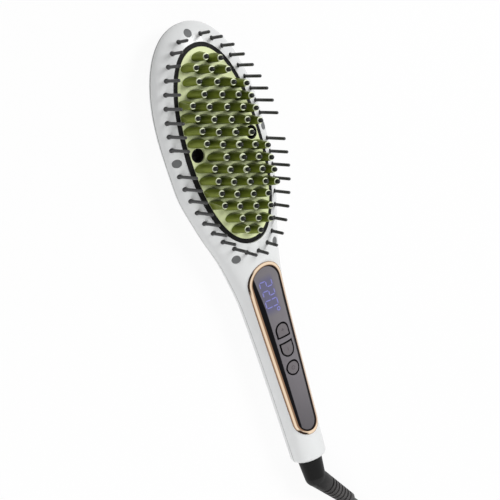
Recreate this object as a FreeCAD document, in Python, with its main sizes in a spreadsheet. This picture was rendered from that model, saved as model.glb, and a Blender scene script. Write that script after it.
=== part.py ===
import FreeCAD, Part
import math
import os

import Sketcher
from FreeCAD import Placement, Rotation, Vector

# Heated hair straightening brush, lying on its back: bristles up (+Z), head towards +Y,
# handle towards -Y.  The origin is under the middle of the housing, on the surface it lies on.
# All lengths are in millimetres and all angles in degrees.

doc = FreeCAD.newDocument("hair_brush")

# ---------------------------------------------------------------- driving dimensions
DRIVING_SIZES = [
    # housing outline, seen from the front
    ("overall_length", 277.3), ("head_half_width", 35.7), ("head_centre_y", 73.15),
    ("head_roundness", 2.2),
    ("belly_y", 47.15), ("belly_half_width", 34.9),
    ("shoulder_y", 23.15), ("shoulder_half_width", 29.6),
    ("collar_y", -6.45), ("collar_half_width", 20.1),
    ("neck_y", -34.85), ("neck_half_width", 15.1),
    ("grip_y", -82.85), ("grip_half_width", 12.7),
    ("tail_half_width", 11.3),
    # housing depth
    ("parting_z", 12.5), ("head_half_depth", 12.5), ("tail_half_depth", 10.6),
    ("taper_start_y", -28.85), ("shell_wall", 2.4), ("parting_gap", 0.3), ("end_radius", 2.5),
    ("tongue_height", 1.2), ("tongue_wall", 1.1), ("tongue_clearance", 0.12),
    # heated plate and its seal
    ("plate_centre_y", 65.75), ("plate_half_width", 24.1), ("plate_half_length", 57.9),
    ("oval_power", 2.2), ("plate_crown_z", 25.0), ("plate_crown_y", 45.15),
    ("plate_radius_across", 114.0), ("plate_radius_along", 833.0),
    ("plate_base_z", 16.4), ("plate_clearance", 0.1),
    ("bezel_width", 2.6), ("bezel_proud", -0.4), ("bezel_flange", 1.5), ("bezel_flange_width", 1.6),
    ("well_wall", 1.8), ("well_floor", 1.5), ("well_clearance", 0.1),
    # teeth
    ("tooth_pitch", 7.53), ("tooth_rows", 15.0), ("column_b_x", 10.4), ("column_a_x", 19.2),
    ("end_column_b_x", 8.6), ("tooth_base_across", 4.8), ("tooth_base_along", 2.75),
    ("tooth_waist_across", 3.6), ("tooth_waist_along", 2.5), ("tooth_waist_share", 0.45),
    ("tooth_top_radius", 1.95), ("tooth_crown_z", 41.0), ("tooth_crown_y", 59.15),
    ("tooth_radius_across", 76.0), ("tooth_radius_along", 207.0), ("tooth_root", 0.8),
    ("cap_radius", 1.4), ("cap_height", 2.3), ("cap_peg_radius", 0.85), ("cap_peg_length", 2.5),
    ("cap_clearance", 0.05),
    # oval ring of pins
    ("ring_centre_y", 65.35), ("ring_half_width", 32.2), ("ring_half_length", 66.1),
    ("ring_places", 40.0),
    ("pin_radius", 0.95), ("pin_collar_radius", 1.4), ("pin_collar_height", 1.7),
    ("pin_length_middle", 18.8), ("pin_length_end", 9.5), ("pin_seat_depth", 0.9),
    ("pin_stem_length", 1.6), ("pin_stem_gap", 0.2), ("pin_seat_bore", 3.4),
    ("pin_clearance", 0.05), ("pin_lean", 6.0),
    # screws and plugs
    ("plug_radius", 2.4), ("plug_thickness", 1.7), ("plug_clearance", 0.1),
    ("tip_plug_y", 132.45), ("side_plug_x", 31.6), ("side_plug_y", 65.25),
    ("neck_plug_x", 14.5), ("neck_plug_y", -0.85),
    ("screw_head_radius", 2.1), ("screw_head_height", 1.5),
    ("screw_radius", 1.2), ("screw_length", 5.0), ("screw_tip_gap", 0.3), ("screw_web", 1.6),
    ("screw_clearance", 0.05),
    ("boss_wall", 1.4),
    # ion outlets
    ("ion_x", 19.4), ("ion_radius", 4.1), ("ion_wall", 0.5), ("ion_clearance", 0.08),
    ("ion_floor", 1.0), ("needle_radius", 0.4), ("needle_length", 8.0),
    ("needle_straight", 6.0),
    # heater under the plate
    ("heater_half_width", 5.5), ("heater_length", 76.0), ("heater_thickness", 2.5),
    ("pocket_half_width", 10.0), ("pocket_length", 80.0), ("pocket_depth", 3.6),
    ("mica_half_width", 6.0), ("clamp_half_width", 11.0), ("clamp_length", 96.0),
    ("clamp_thickness", 1.2), ("clamp_screw_x", 7.0), ("clamp_screw_spread", 89.0),
    ("clamp_screw_radius", 1.2), ("clamp_screw_length", 4.6), ("contact_gap", 0.05),
    ("fuse_radius", 1.5), ("fuse_length", 9.0), ("bead_radius", 1.2), ("bead_length", 4.0),
    ("pocket_part_shift", 0.2),
    ("shield_thickness", 0.8), ("shield_post_radius", 2.0), ("shield_post_x", 12.0),
    ("shield_post_spread", 70.0),
    ("module_width", 18.0), ("module_length", 34.0), ("module_height", 8.0), ("rib_width", 1.5),
    ("module_rib_height", 0.9),
    # panel on the handle
    ("panel_top_y", -8.65), ("panel_bottom_y", -120.95), ("panel_top_radius", 12.4),
    ("panel_bottom_radius", 9.0), ("trim_width", 2.2), ("trim_proud", 0.6), ("lens_proud", 0.25),
    ("recess_depth", 1.2), ("recess_ledge", 1.6), ("panel_clearance", 0.08),
    # keys
    ("key_up_y", -51.9), ("key_down_y", -64.4), ("key_power_y", -76.65), ("key_half_width", 4.0),
    ("key_length", 8.0), ("key_gap", 0.6), ("key_proud", 0.1), ("key_travel", 0.4),
    ("key_flange_width", 0.95), ("key_flange_z", 20.8), ("key_flange_gap", 0.1),
    ("stem_radius", 1.6), ("stem_clearance", 0.1), ("switch_width", 6.0), ("switch_height", 3.5),
    ("switch_floor", 1.2),
    # control board and display
    ("board_z", 13.0), ("board_thickness", 1.6), ("board_half_width", 7.5), ("board_top_y", -6.85),
    ("board_length", 102.0), ("board_screw_inset", 4.0), ("board_screw_back_y", -84.35),
    ("board_post_radius", 2.7), ("board_screw_radius", 1.2), ("board_screw_length", 6.0),
    ("display_width", 12.5), ("display_length", 27.0), ("display_height", 7.2),
    ("display_centre_y", -30.85), ("solder_gap", 0.05),
    ("capacitor_radius", 3.6), ("capacitor_length", 15.0), ("relay_length", 9.0),
    ("relay_height", 5.0), ("power_parts_y", -96.85),
    # leads
    ("lead_radius", 0.6), ("lead_spacing", 2.0), ("lead_z", 14.1), ("lead_end_y", 21.15),
    ("lead_slot_half_width", 4.4),
    # cord swivel
    ("hub_radius", 7.5), ("hub_length", 16.5), ("hub_tip_radius", 6.6), ("hub_end_round", 3.0),
    ("hub_gap", 0.3),
    ("neck_groove_radius", 5.8), ("groove_clearance", 0.15), ("hub_flange_radius", 7.2),
    ("hub_flange_width", 1.6), ("spindle_radius", 3.8), ("spindle_length", 14.0),
    ("slip_ring_radius", 4.8), ("slip_ring_width", 3.0), ("slip_ring_pitch", 5.4),
    ("slip_ring_clearance", 0.05), ("ring_inset", 1.0), ("leaf_thickness", 0.5),
    ("leaf_half_width", 3.0), ("leaf_length", 2.4), ("hub_rim_width", 2.0),
    ("holder_half_width", 4.6), ("holder_length", 13.0),
    # cord sleeve, cord and plug
    ("sleeve_length", 38.0), ("sleeve_root_radius", 6.4), ("sleeve_tip_radius", 4.5),
    ("sleeve_yaw", 38.0), ("sleeve_drop", 10.5), ("sleeve_ribs", 7.0), ("rib_depth", 0.8),
    ("sleeve_plain_length", 11.4), ("rib_gap_share", 0.45), ("elbow_sink", 2.5),
    ("cord_radius", 2.9), ("coil_radius", 32.0), ("coil_lanes", 3.0), ("coil_layers", 3.0),
    ("coil_lift", 1.0), ("notch_length", 40.0),
    ("coil_rounding", 2.6), ("notch_clearance", 1.0),
    ("tie_thickness", 0.9), ("tie_half_width", 6.0), ("tie_clearance", 0.05),
    ("plug_length", 36.0), ("plug_half_width", 17.6), ("plug_half_thickness", 6.9),
    ("plug_neck_half_width", 7.0), ("prong_radius", 2.0), ("prong_length", 19.0),
    ("prong_spacing", 19.0), ("prong_tip_radius", 1.2), ("plug_neck_length", 12.6),
    ("plug_flare_length", 13.3), ("plug_corner_radius", 4.0), ("plug_edge_radius", 2.5),
]


def fill_sheet():
    """Write the driving dimensions to the spreadsheet, one row each."""
    table = doc.addObject("Spreadsheet::Sheet", "Sizes")
    for row, (alias, number) in enumerate(DRIVING_SIZES, start=1):
        table.set("A%d" % row, alias)
        table.set("B%d" % row, str(number))
        table.setAlias("B%d" % row, alias)
    doc.recompute()
    return table


class Size:
    """A number together with the spreadsheet expression that gives it."""

    def __init__(self, number, text):
        self.number = float(number)
        self.text = text

    def __float__(self):
        return self.number

    def __add__(self, other):
        other = as_size(other)
        return Size(self.number + other.number, "(%s + %s)" % (self.text, other.text))

    def __radd__(self, other):
        return as_size(other) + self

    def __sub__(self, other):
        other = as_size(other)
        return Size(self.number - other.number, "(%s - %s)" % (self.text, other.text))

    def __rsub__(self, other):
        return as_size(other) - self

    def __mul__(self, other):
        other = as_size(other)
        return Size(self.number * other.number, "(%s * %s)" % (self.text, other.text))

    def __rmul__(self, other):
        return as_size(other) * self

    def __truediv__(self, other):
        other = as_size(other)
        return Size(self.number / other.number, "(%s / %s)" % (self.text, other.text))

    def __neg__(self):
        return Size(-self.number, "(0 - %s)" % self.text)


def as_size(value):
    return value if isinstance(value, Size) else Size(value, repr(float(value)))


class Named:
    """Gives each spreadsheet cell by its alias."""

    def __init__(self, table):
        for alias, _ in DRIVING_SIZES:
            setattr(self, alias, Size(table.get(alias), "Sizes.%s" % alias))


sheet = fill_sheet()
s = Named(sheet)

# ---------------------------------------------------------------- small helpers
nodes = {}


def node(name, thing):
    """Give a finished sub-part its name."""
    thing.Label = name
    nodes[name] = thing
    return thing


def bind(thing, prop, size):
    thing.setExpression(prop, as_size(size).text)


def bind_place(thing, x=0.0, y=0.0, z=0.0):
    for axis, size in (("x", x), ("y", y), ("z", z)):
        bind(thing, "Placement.Base.%s" % axis, size)


def turned(thing, axis, angle):
    thing.Placement = Placement(thing.Placement.Base, Rotation(axis, angle))


def feature(name, shape):
    thing = doc.addObject("Part::Feature", name)
    thing.Shape = shape
    thing.Placement = Placement()
    return thing


def box(name, width, length, height, x, y, z):
    """A box centred on x, from y - length / 2, standing on z."""
    thing = doc.addObject("Part::Box", name)
    bind(thing, "Length", width)
    bind(thing, "Width", length)
    bind(thing, "Height", height)
    bind_place(thing, as_size(x) - as_size(width) / 2, as_size(y) - as_size(length) / 2, z)
    return thing


def cylinder(name, radius, height, x, y, z, axis=Vector(0, 0, 1)):
    thing = doc.addObject("Part::Cylinder", name)
    thing.Placement = Placement(Vector(), Rotation(Vector(0, 0, 1), axis))
    bind(thing, "Radius", radius)
    bind(thing, "Height", height)
    bind_place(thing, x, y, z)
    return thing


def shared(name, base, tool):
    """What two objects have in common."""
    thing = doc.addObject("Part::Common", name)
    thing.Base = base
    thing.Tool = tool
    return thing


def group(name, shapes):
    """One node that holds several separate solids of the same kind."""
    return node(name, feature(name, Part.makeCompound(shapes)))


def origin_plane(body, role):
    return next(item for item in body.Origin.OriginFeatures if item.Role == role)


def new_body(name):
    return doc.addObject("PartDesign::Body", name)


def outline_sketch(body, plane, corners, name):
    """Closed straight-sided outline; two driven distances pin each corner to the origin."""
    sketch = body.newObject("Sketcher::SketchObject", name)
    sketch.AttachmentSupport = [(origin_plane(body, plane), "")]
    sketch.MapMode = "FlatFace"
    places = [Vector(float(across), float(up), 0) for across, up in corners]
    count = len(places)
    for index in range(count):
        sketch.addGeometry(Part.LineSegment(places[index], places[(index + 1) % count]), False)
    for index in range(count):
        sketch.addConstraint(Sketcher.Constraint("Coincident", index, 2, (index + 1) % count, 1))
    for index, corner in enumerate(corners):
        for kind, size in zip(("DistanceX", "DistanceY"), corner):
            if not isinstance(size, Size):
                axis = -2 if kind == "DistanceX" else -1
                sketch.addConstraint(Sketcher.Constraint("PointOnObject", index, 1, axis))
                continue
            rule = Sketcher.Constraint(kind, -1, 1, index, 1, float(size))
            number = sketch.addConstraint(rule)
            sketch.setExpression("Constraints[%d]" % number, size.text)
    return sketch


def circle_sketch(body, plane, circles, name):
    """Circles given as (across, up, radius), driven from the spreadsheet."""
    sketch = body.newObject("Sketcher::SketchObject", name)
    sketch.AttachmentSupport = [(origin_plane(body, plane), "")]
    sketch.MapMode = "FlatFace"
    for index, (across, up, radius) in enumerate(circles):
        centre = Vector(float(across), float(up), 0)
        sketch.addGeometry(Part.Circle(centre, Vector(0, 0, 1), float(radius)), False)
        number = sketch.addConstraint(Sketcher.Constraint("Radius", index, float(radius)))
        sketch.setExpression("Constraints[%d]" % number, as_size(radius).text)
        for kind, size in (("DistanceX", across), ("DistanceY", up)):
            if not isinstance(size, Size):
                axis = -2 if kind == "DistanceX" else -1
                sketch.addConstraint(Sketcher.Constraint("PointOnObject", index, 3, axis))
                continue
            rule = Sketcher.Constraint(kind, -1, 1, index, 3, float(size))
            number = sketch.addConstraint(rule)
            sketch.setExpression("Constraints[%d]" % number, size.text)
    return sketch


def pad(body, sketch, length, name, reversed_way=False):
    thing = body.newObject("PartDesign::Pad", name)
    thing.Profile = sketch
    thing.Reversed = reversed_way
    bind(thing, "Length", length)
    return thing


def pocket_through(body, sketch, name):
    """A pocket through everything on both sides of its sketch."""
    thing = body.newObject("PartDesign::Pocket", name)
    thing.Profile = sketch
    thing.Type = 1
    thing.Midplane = True
    return thing


def revolve(body, sketch, name, axis="V_Axis"):
    thing = body.newObject("PartDesign::Revolution", name)
    thing.Profile = sketch
    thing.ReferenceAxis = (sketch, [axis])
    thing.Angle = 360
    return thing


def round_edges(body, numbers, radius, name):
    base = body.Tip
    thing = body.newObject("PartDesign::Fillet", name)
    thing.Base = (base, ["Edge%d" % number for number in numbers])
    bind(thing, "Radius", radius)
    return thing


def centred_rectangle(width, length):
    half, reach = as_size(width) / 2, as_size(length) / 2
    return [(-half, -reach), (half, -reach), (half, reach), (-half, reach)]


def copies(shape, places):
    """Copies of a shape, each moved to a place or placement."""
    result = []
    for place in places:
        piece = shape.copy()
        move = place if isinstance(place, Placement) else Placement(place, Rotation())
        piece.Placement = move.multiply(piece.Placement)
        result.append(piece)
    return result


def rod(radius, start, end):
    """A straight round bar between two points."""
    along = end - start
    return Part.makeCylinder(radius, along.Length, start, along)


def slab(low_z, high_z):
    """A wide flat block between two heights."""
    reach = float(s.overall_length)
    return Part.makeBox(2 * reach, 2 * reach, high_z - low_z, Vector(-reach, -reach, low_z))


# ---------------------------------------------------------------- housing form
# An ellipse's long half is kept this much longer than its short one.
ELLIPSE_MARGIN = 0.001
TAIL_Y = -float(s.overall_length) / 2
TIP_Y = float(s.overall_length) / 2
PARTING_Z = float(s.parting_z)
CAP_STEPS = (3, 9, 16, 24, 33, 43, 54, 66, 78, 90)
SECTION_STEP = 9.5

WIDTH_STATIONS = [
    (TAIL_Y, float(s.tail_half_width)),
    (float(s.grip_y), float(s.grip_half_width)),
    (float(s.neck_y), float(s.neck_half_width)),
    (float(s.collar_y), float(s.collar_half_width)),
    (float(s.shoulder_y), float(s.shoulder_half_width)),
    (float(s.belly_y), float(s.belly_half_width)),
    (float(s.head_centre_y), float(s.head_half_width)),
]
DEPTH_STATIONS = [
    (TAIL_Y, float(s.tail_half_depth)),
    (float(s.taper_start_y), float(s.head_half_depth)),
    (float(s.head_centre_y), float(s.head_half_depth)),
]


def smooth_through(stations, y):
    """Cubic through the stations that never swings past them, level at its last one."""
    last = len(stations) - 1
    rates = [(after[1] - before[1]) / (after[0] - before[0])
             for before, after in zip(stations, stations[1:])]
    slopes = [rates[0]]
    for before, after in zip(rates, rates[1:]):
        slopes.append(2 * before * after / (before + after) if before * after > 0 else 0.0)
    slopes.append(0.0)
    index = 0
    while index < last - 1 and y > stations[index + 1][0]:
        index += 1
    (y0, v0), (y1, v1) = stations[index], stations[index + 1]
    span = y1 - y0
    share = (y - y0) / span
    rise = share * share * (3 - 2 * share)
    start = share * (1 - share) ** 2 * span * slopes[index]
    end = share * share * (share - 1) * span * slopes[index + 1]
    return v0 + (v1 - v0) * rise + start + end


def section_at(y, inset=0.0):
    """Half width and half depth of the housing at a station along it."""
    centre = float(s.head_centre_y)
    if y <= centre:
        return smooth_through(WIDTH_STATIONS, y) - inset, smooth_through(DEPTH_STATIONS, y) - inset
    reach = TIP_Y - centre - inset
    power = float(s.head_roundness)
    share = max(1 - ((y - centre) / reach) ** power, 0.0) ** (1 / power)
    return (float(s.head_half_width) - inset) * share, (float(s.head_half_depth) - inset) * share


def face_z(x, y):
    """Height of the housing's front face."""
    width, depth = section_at(y)
    return PARTING_Z + depth * math.sqrt(max(1 - (x / width) ** 2, 0.0))


def section_wire(y, inset):
    width, depth = section_at(y, inset)
    depth = min(depth, width - ELLIPSE_MARGIN)
    ellipse = Part.Ellipse(Vector(width, y, PARTING_Z), Vector(0, y, PARTING_Z + depth),
                           Vector(0, y, PARTING_Z))
    return Part.Wire([ellipse.toShape()])


housing_forms = {}


def housing_solid(inset):
    """The closed form of the whole housing, drawn in by the inset."""
    if inset in housing_forms:
        return housing_forms[inset]
    centre = float(s.head_centre_y)
    reach = TIP_Y - centre - inset
    stations = [centre + reach * math.cos(math.radians(angle)) for angle in CAP_STEPS]
    tail = TAIL_Y + inset
    count = int(round((centre - tail) / SECTION_STEP))
    stations += [centre + (tail - centre) * step / count for step in range(1, count + 1)]
    form = Part.makeLoft([section_wire(y, inset) for y in reversed(stations)], True, False)
    housing_forms[inset] = form
    return form


def rounded_housing():
    """The outer form with its tail end rounded over."""
    solid = housing_solid(0.0)
    rim = [edge for edge in solid.Edges
           if abs(edge.BoundBox.YMin - TAIL_Y) < 0.01 and abs(edge.BoundBox.YMax - TAIL_Y) < 0.01]
    return solid.makeFillet(float(s.end_radius), rim)


OUTER = rounded_housing()
INNER = housing_solid(float(s.shell_wall))
GAP = float(s.parting_gap) / 2
UPPER = slab(PARTING_Z + GAP, PARTING_Z + float(s.overall_length))
LOWER = slab(PARTING_Z - float(s.overall_length), PARTING_Z - GAP)

# ---------------------------------------------------------------- ovals and domes
PLATE_Y = float(s.plate_centre_y)
OVAL_STEPS = 40


def oval_face(grow, z):
    """The plate's oval outline, grown outward, as a flat face."""
    half_width = float(s.plate_half_width) + grow
    half_length = float(s.plate_half_length) + grow
    power = 2 / float(s.oval_power)
    points = []
    for step in range(OVAL_STEPS):
        angle = 2 * math.pi * (step + 0.5) / OVAL_STEPS
        across, along = math.cos(angle), math.sin(angle)
        points.append(Vector(half_width * math.copysign(abs(across) ** power, across),
                             PLATE_Y + half_length * math.copysign(abs(along) ** power, along), z))
    curve = Part.BSplineCurve()
    curve.interpolate(Points=points, PeriodicFlag=True)
    return Part.Face(Part.Wire([curve.toShape()]))


def oval_prism(grow, low_z, high_z):
    return oval_face(grow, low_z).extrude(Vector(0, 0, high_z - low_z))


def dome_z(x, y, lift=0.0):
    """Height of the plate's doubly curved top."""
    across = float(s.plate_radius_across)
    along = float(s.plate_radius_along)
    drop_across = across - math.sqrt(across ** 2 - x ** 2)
    drop_along = along - math.sqrt(along ** 2 - (y - float(s.plate_crown_y)) ** 2)
    return float(s.plate_crown_z) + lift - drop_across - drop_along


def dome_block(lift):
    """Everything under the plate's top, raised by lift: an arc swung about a far axis."""
    radius = float(s.plate_radius_across)
    top = float(s.plate_crown_z) + lift
    crown_y = float(s.plate_crown_y)
    reach = float(s.head_half_width) + float(s.bezel_width)
    floor = top - 2 * float(s.head_half_depth)
    edge = top - (radius - math.sqrt(radius ** 2 - reach ** 2))
    left, right = Vector(-reach, crown_y, edge), Vector(reach, crown_y, edge)
    arc = Part.Arc(left, Vector(0, crown_y, top), right).toShape()
    low_left, low_right = Vector(-reach, crown_y, floor), Vector(reach, crown_y, floor)
    sides = [Part.makeLine(right, low_right), Part.makeLine(low_right, low_left),
             Part.makeLine(low_left, left)]
    face = Part.Face(Part.Wire([arc] + sides))
    swing = math.degrees(float(s.overall_length) / 2 / float(s.plate_radius_along))
    hub = Vector(0, crown_y, top - float(s.plate_radius_along))
    face.rotate(hub, Vector(1, 0, 0), -swing)
    return face.revolve(hub, Vector(1, 0, 0), 2 * swing)


BEZEL_GROW = float(s.plate_clearance) + float(s.bezel_width)
WELL_GROW = BEZEL_GROW + float(s.well_clearance)
BEZEL_BASE_Z = float(s.plate_base_z) - float(s.contact_gap) - float(s.bezel_flange)
WELL_BASE_Z = BEZEL_BASE_Z - float(s.contact_gap) - float(s.well_floor)
CLEAR_Z = float(s.parting_z) + 2 * float(s.head_half_depth)


# ---------------------------------------------------------------- lattice of teeth
def tooth_places():
    """Five staggered columns, alike on both sides; two places are left to the ion outlets."""
    rows = int(float(s.tooth_rows))
    middle = (rows + 1) / 2
    pitch = float(s.tooth_pitch)
    outer_rows = [row for row in range(4, rows - 2) if row != middle]
    places = [(0.0, (middle - row) * pitch) for row in range(1, rows + 1)]
    for row in range(1, rows):
        at_end = row in (1, rows - 1)
        x = float(s.end_column_b_x) if at_end else float(s.column_b_x)
        places += [(side * x, (middle - row - 0.5) * pitch) for side in (-1, 1)]
    for row in outer_rows:
        places += [(side * float(s.column_a_x), (middle - row) * pitch) for side in (-1, 1)]
    return [(x, PLATE_Y + y) for x, y in places]


def tooth_top_z(x, y):
    """Height of a tooth's nylon tip."""
    drop = x ** 2 / (2 * float(s.tooth_radius_across))
    drop += (y - float(s.tooth_crown_y)) ** 2 / (2 * float(s.tooth_radius_along))
    return float(s.tooth_crown_z) - drop


def shoulder_z(x, y):
    return tooth_top_z(x, y) - float(s.cap_height)


def ellipse_wire(x, y, z, across, along):
    ellipse = Part.Ellipse(Vector(x + across, y, z), Vector(x, y + along, z), Vector(x, y, z))
    return Part.Wire([ellipse.toShape()])


def tooth_solid(x, y, ground, edge):
    """A tooth on the ground it stands on, within the plate's edge: long across at its foot,
    round at its shoulder."""
    foot = dome_z(x, y) - float(s.tooth_root)
    top = shoulder_z(x, y)
    waist = foot + (top - foot) * float(s.tooth_waist_share)
    radius = float(s.tooth_top_radius)
    wires = [
        ellipse_wire(x, y, foot, float(s.tooth_base_across), float(s.tooth_base_along)),
        ellipse_wire(x, y, waist, float(s.tooth_waist_across), float(s.tooth_waist_along)),
        ellipse_wire(x, y, top, radius + ELLIPSE_MARGIN, radius),
    ]
    bore_radius = float(s.cap_peg_radius) + float(s.cap_clearance)
    bore_depth = float(s.cap_peg_length) + float(s.cap_clearance)
    bore = Part.makeCylinder(bore_radius, 2 * bore_depth, Vector(x, y, top - bore_depth))
    return Part.makeLoft(wires, True, False).cut([bore, ground]).common(edge)


# ---------------------------------------------------------------- ring of pins
def ring_points():
    """Places evenly spaced along the oval, the first at the head's tip, going to +X."""
    count = int(float(s.ring_places))
    half_width, half_length = float(s.ring_half_width), float(s.ring_half_length)
    steps = 2000
    points = [(half_width * math.sin(2 * math.pi * i / steps),
               half_length * math.cos(2 * math.pi * i / steps)) for i in range(steps + 1)]
    travelled = [0.0]
    for before, after in zip(points, points[1:]):
        travelled.append(travelled[-1] + math.dist(before, after))
    places, index = [], 0
    for number in range(count):
        goal = travelled[-1] * number / count
        while travelled[index] < goal:
            index += 1
        places.append((points[index][0], float(s.ring_centre_y) + points[index][1]))
    return places


def screw_points():
    """The five housing screws: one at the tip, two at the sides and two at the neck."""
    places = [(0.0, float(s.tip_plug_y))]
    for side in (1, -1):
        places.append((side * float(s.side_plug_x), float(s.side_plug_y)))
    return places + [(side * float(s.neck_plug_x), float(s.neck_plug_y)) for side in (-1, 1)]


def pin_points():
    ring = ring_points()
    count = len(ring)
    plugs = (0, count // 4, 3 * count // 4)
    return [place for index, place in enumerate(ring) if index not in plugs]


def pin_frame(x, y):
    """Place and lean of a pin: its seat on the face, leaning outward along the head."""
    share = (y - float(s.ring_centre_y)) / float(s.ring_half_length)
    lean = -float(s.pin_lean) * share ** 3 * abs(share)
    rim_z = face_z(abs(x) + float(s.pin_collar_radius), y) - float(s.pin_clearance)
    seat = Vector(x, y, min(face_z(x, y) - float(s.pin_seat_depth), rim_z))
    return Placement(seat, Rotation(Vector(1, 0, 0), lean)), share


# ---------------------------------------------------------------- panel outline
def tapered_slot(shrink, z):
    """The panel's outline: two round ends joined by straight flanks, drawn in by shrink."""
    top_radius = float(s.panel_top_radius)
    bottom_radius = float(s.panel_bottom_radius)
    top_y = float(s.panel_top_y) - top_radius
    bottom_y = float(s.panel_bottom_y) + bottom_radius
    slant = math.asin((top_radius - bottom_radius) / (top_y - bottom_y))
    across, along = math.cos(slant), -math.sin(slant)
    top_radius -= shrink
    bottom_radius -= shrink
    corners = {}
    for side in (-1, 1):
        corners[side, "top"] = Vector(side * top_radius * across, top_y + top_radius * along, z)
        corners[side, "bottom"] = Vector(side * bottom_radius * across,
                                         bottom_y + bottom_radius * along, z)
    top_arc = Part.Arc(corners[-1, "top"], Vector(0, top_y + top_radius, z), corners[1, "top"])
    bottom_arc = Part.Arc(corners[1, "bottom"], Vector(0, bottom_y - bottom_radius, z),
                          corners[-1, "bottom"])
    edges = [top_arc.toShape(), Part.makeLine(corners[1, "top"], corners[1, "bottom"]),
             bottom_arc.toShape(), Part.makeLine(corners[-1, "bottom"], corners[-1, "top"])]
    return Part.Face(Part.Wire(edges))


def slot_prism(shrink, low_z, high_z):
    return tapered_slot(shrink, low_z).extrude(Vector(0, 0, high_z - low_z))


def key_face(kind, grow, z):
    """A key's outline: round, or a D whose dome points to the head or to the tail."""
    half, length = float(s.key_half_width) + grow, float(s.key_length) + 2 * grow
    y = float({"up": s.key_up_y, "down": s.key_down_y, "power": s.key_power_y}[kind])
    if kind == "power":
        circle = Part.Circle(Vector(0, y, z), Vector(0, 0, 1), half)
        return Part.Face(Part.Wire([circle.toShape()]))
    way = 1 if kind == "up" else -1
    flat_y, spring_y = y - way * length / 2, y + way * (length / 2 - half)
    left_flat, right_flat = Vector(-half, flat_y, z), Vector(half, flat_y, z)
    left, right = Vector(-half, spring_y, z), Vector(half, spring_y, z)
    dome = Part.Arc(right, Vector(0, y + way * length / 2, z), left).toShape()
    edges = [Part.makeLine(left_flat, right_flat), Part.makeLine(right_flat, right), dome,
             Part.makeLine(left, left_flat)]
    return Part.Face(Part.Wire(edges))


def key_prism(kind, grow, low_z, high_z):
    return key_face(kind, grow, low_z).extrude(Vector(0, 0, high_z - low_z))


KEY_KINDS = ("up", "down", "power")
KEY_Y = {"up": s.key_up_y, "down": s.key_down_y, "power": s.key_power_y}

# ---------------------------------------------------------------- front shell
TAIL_BORE = float(s.neck_groove_radius) + float(s.groove_clearance)


def tail_bore():
    """Round opening in the tail end, half in each shell."""
    return Part.makeCylinder(TAIL_BORE, 4 * float(s.shell_wall) + float(s.end_radius),
                             Vector(0, TAIL_Y - float(s.shell_wall), PARTING_Z), Vector(0, 1, 0))


def screw_tools(x, y):
    """What is cut from the front shell for one screw and its plug."""
    web_top = PARTING_Z + float(s.screw_web)
    head = float(s.screw_head_radius) + float(s.screw_clearance) * 2
    shank = float(s.screw_radius) + float(s.screw_clearance) * 2
    plug = float(s.plug_radius) + float(s.plug_clearance)
    return [
        Part.makeCylinder(shank, CLEAR_Z, Vector(x, y, 0)),
        Part.makeCylinder(head, CLEAR_Z, Vector(x, y, web_top)),
        Part.makeCylinder(plug, CLEAR_Z, Vector(x, y, plug_seat_z(x, y))),
    ]


def plug_seat_z(x, y):
    """Height of the step that a plug sits on."""
    outer_x = abs(x) + float(s.plug_radius)
    rim = min(face_z(outer_x, y), face_z(x, y))
    web_top = PARTING_Z + float(s.screw_web) + float(s.screw_head_height)
    return max(min(rim, face_z(x, y) - float(s.plug_thickness)), web_top + float(s.contact_gap))


def front_shell():
    well = oval_prism(WELL_GROW + float(s.well_wall), WELL_BASE_Z, CLEAR_Z)
    boss_radius = float(s.screw_head_radius) + float(s.boss_wall) + float(s.screw_clearance) * 2
    bosses = [Part.makeCylinder(boss_radius, CLEAR_Z, Vector(x, y, 0))
              for x, y in screw_points()]
    shell = OUTER.common(UPPER).cut(INNER.cut([well] + bosses))
    tools = [oval_prism(WELL_GROW, BEZEL_BASE_Z - float(s.contact_gap), CLEAR_Z),
             oval_prism(-float(s.bezel_flange_width), 0, CLEAR_Z), tail_bore()]
    for x, y in screw_points():
        tools += screw_tools(x, y)
    clearance = float(s.pin_clearance)
    stem_depth = float(s.pin_stem_length + s.pin_stem_gap)
    for x, y in pin_points():
        frame, _ = pin_frame(x, y)
        seat = Part.makeCylinder(float(s.pin_collar_radius) + clearance, float(s.pin_seat_bore))
        hole = Part.makeCylinder(float(s.pin_radius) + clearance, stem_depth,
                                 Vector(0, 0, -stem_depth))
        tools += copies(seat, [frame]) + copies(hole, [frame])
    slot_half = float(s.lead_slot_half_width)
    slot_low = WELL_BASE_Z - float(s.contact_gap)
    tools.append(Part.makeBox(2 * slot_half, PLATE_Y, BEZEL_BASE_Z - slot_low,
                              Vector(-slot_half, PLATE_Y - float(s.plate_half_length)
                                     - float(s.ring_half_length) / 2, slot_low)))
    shell = shell.cut(tools)
    recess = slot_prism(-float(s.panel_clearance), PARTING_Z, CLEAR_Z)
    recess = recess.cut(housing_solid(float(s.recess_depth) + float(s.contact_gap)))
    window = slot_prism(float(s.trim_width) + float(s.recess_ledge), PARTING_Z, CLEAR_Z)
    groove = housing_solid(float(s.shell_wall) - float(s.tongue_wall) - float(s.tongue_clearance))
    groove_top = PARTING_Z + GAP + float(s.tongue_height) + float(s.tongue_clearance)
    rim = groove.cut(INNER).common(slab(PARTING_Z, groove_top)).common(tongue_zone(0.0))
    shell = shell.cut([recess, window, rim])
    return node("front_shell", feature("front_shell", shell))


def tongue_zone(draw_in):
    """Where the tongue runs: the handle and head sides, clear of the screw bosses."""
    keep = slab(0, CLEAR_Z)
    boss_radius = float(s.screw_head_radius) + 2 * float(s.boss_wall) + draw_in
    posts = [Part.makeCylinder(boss_radius, CLEAR_Z, Vector(x, y, 0)) for x, y in screw_points()]
    end = Part.makeBox(float(s.overall_length), 3 * float(s.shell_wall) + draw_in, CLEAR_Z,
                       Vector(-float(s.overall_length) / 2, TAIL_Y, 0))
    return keep.cut(posts + [end])


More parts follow.
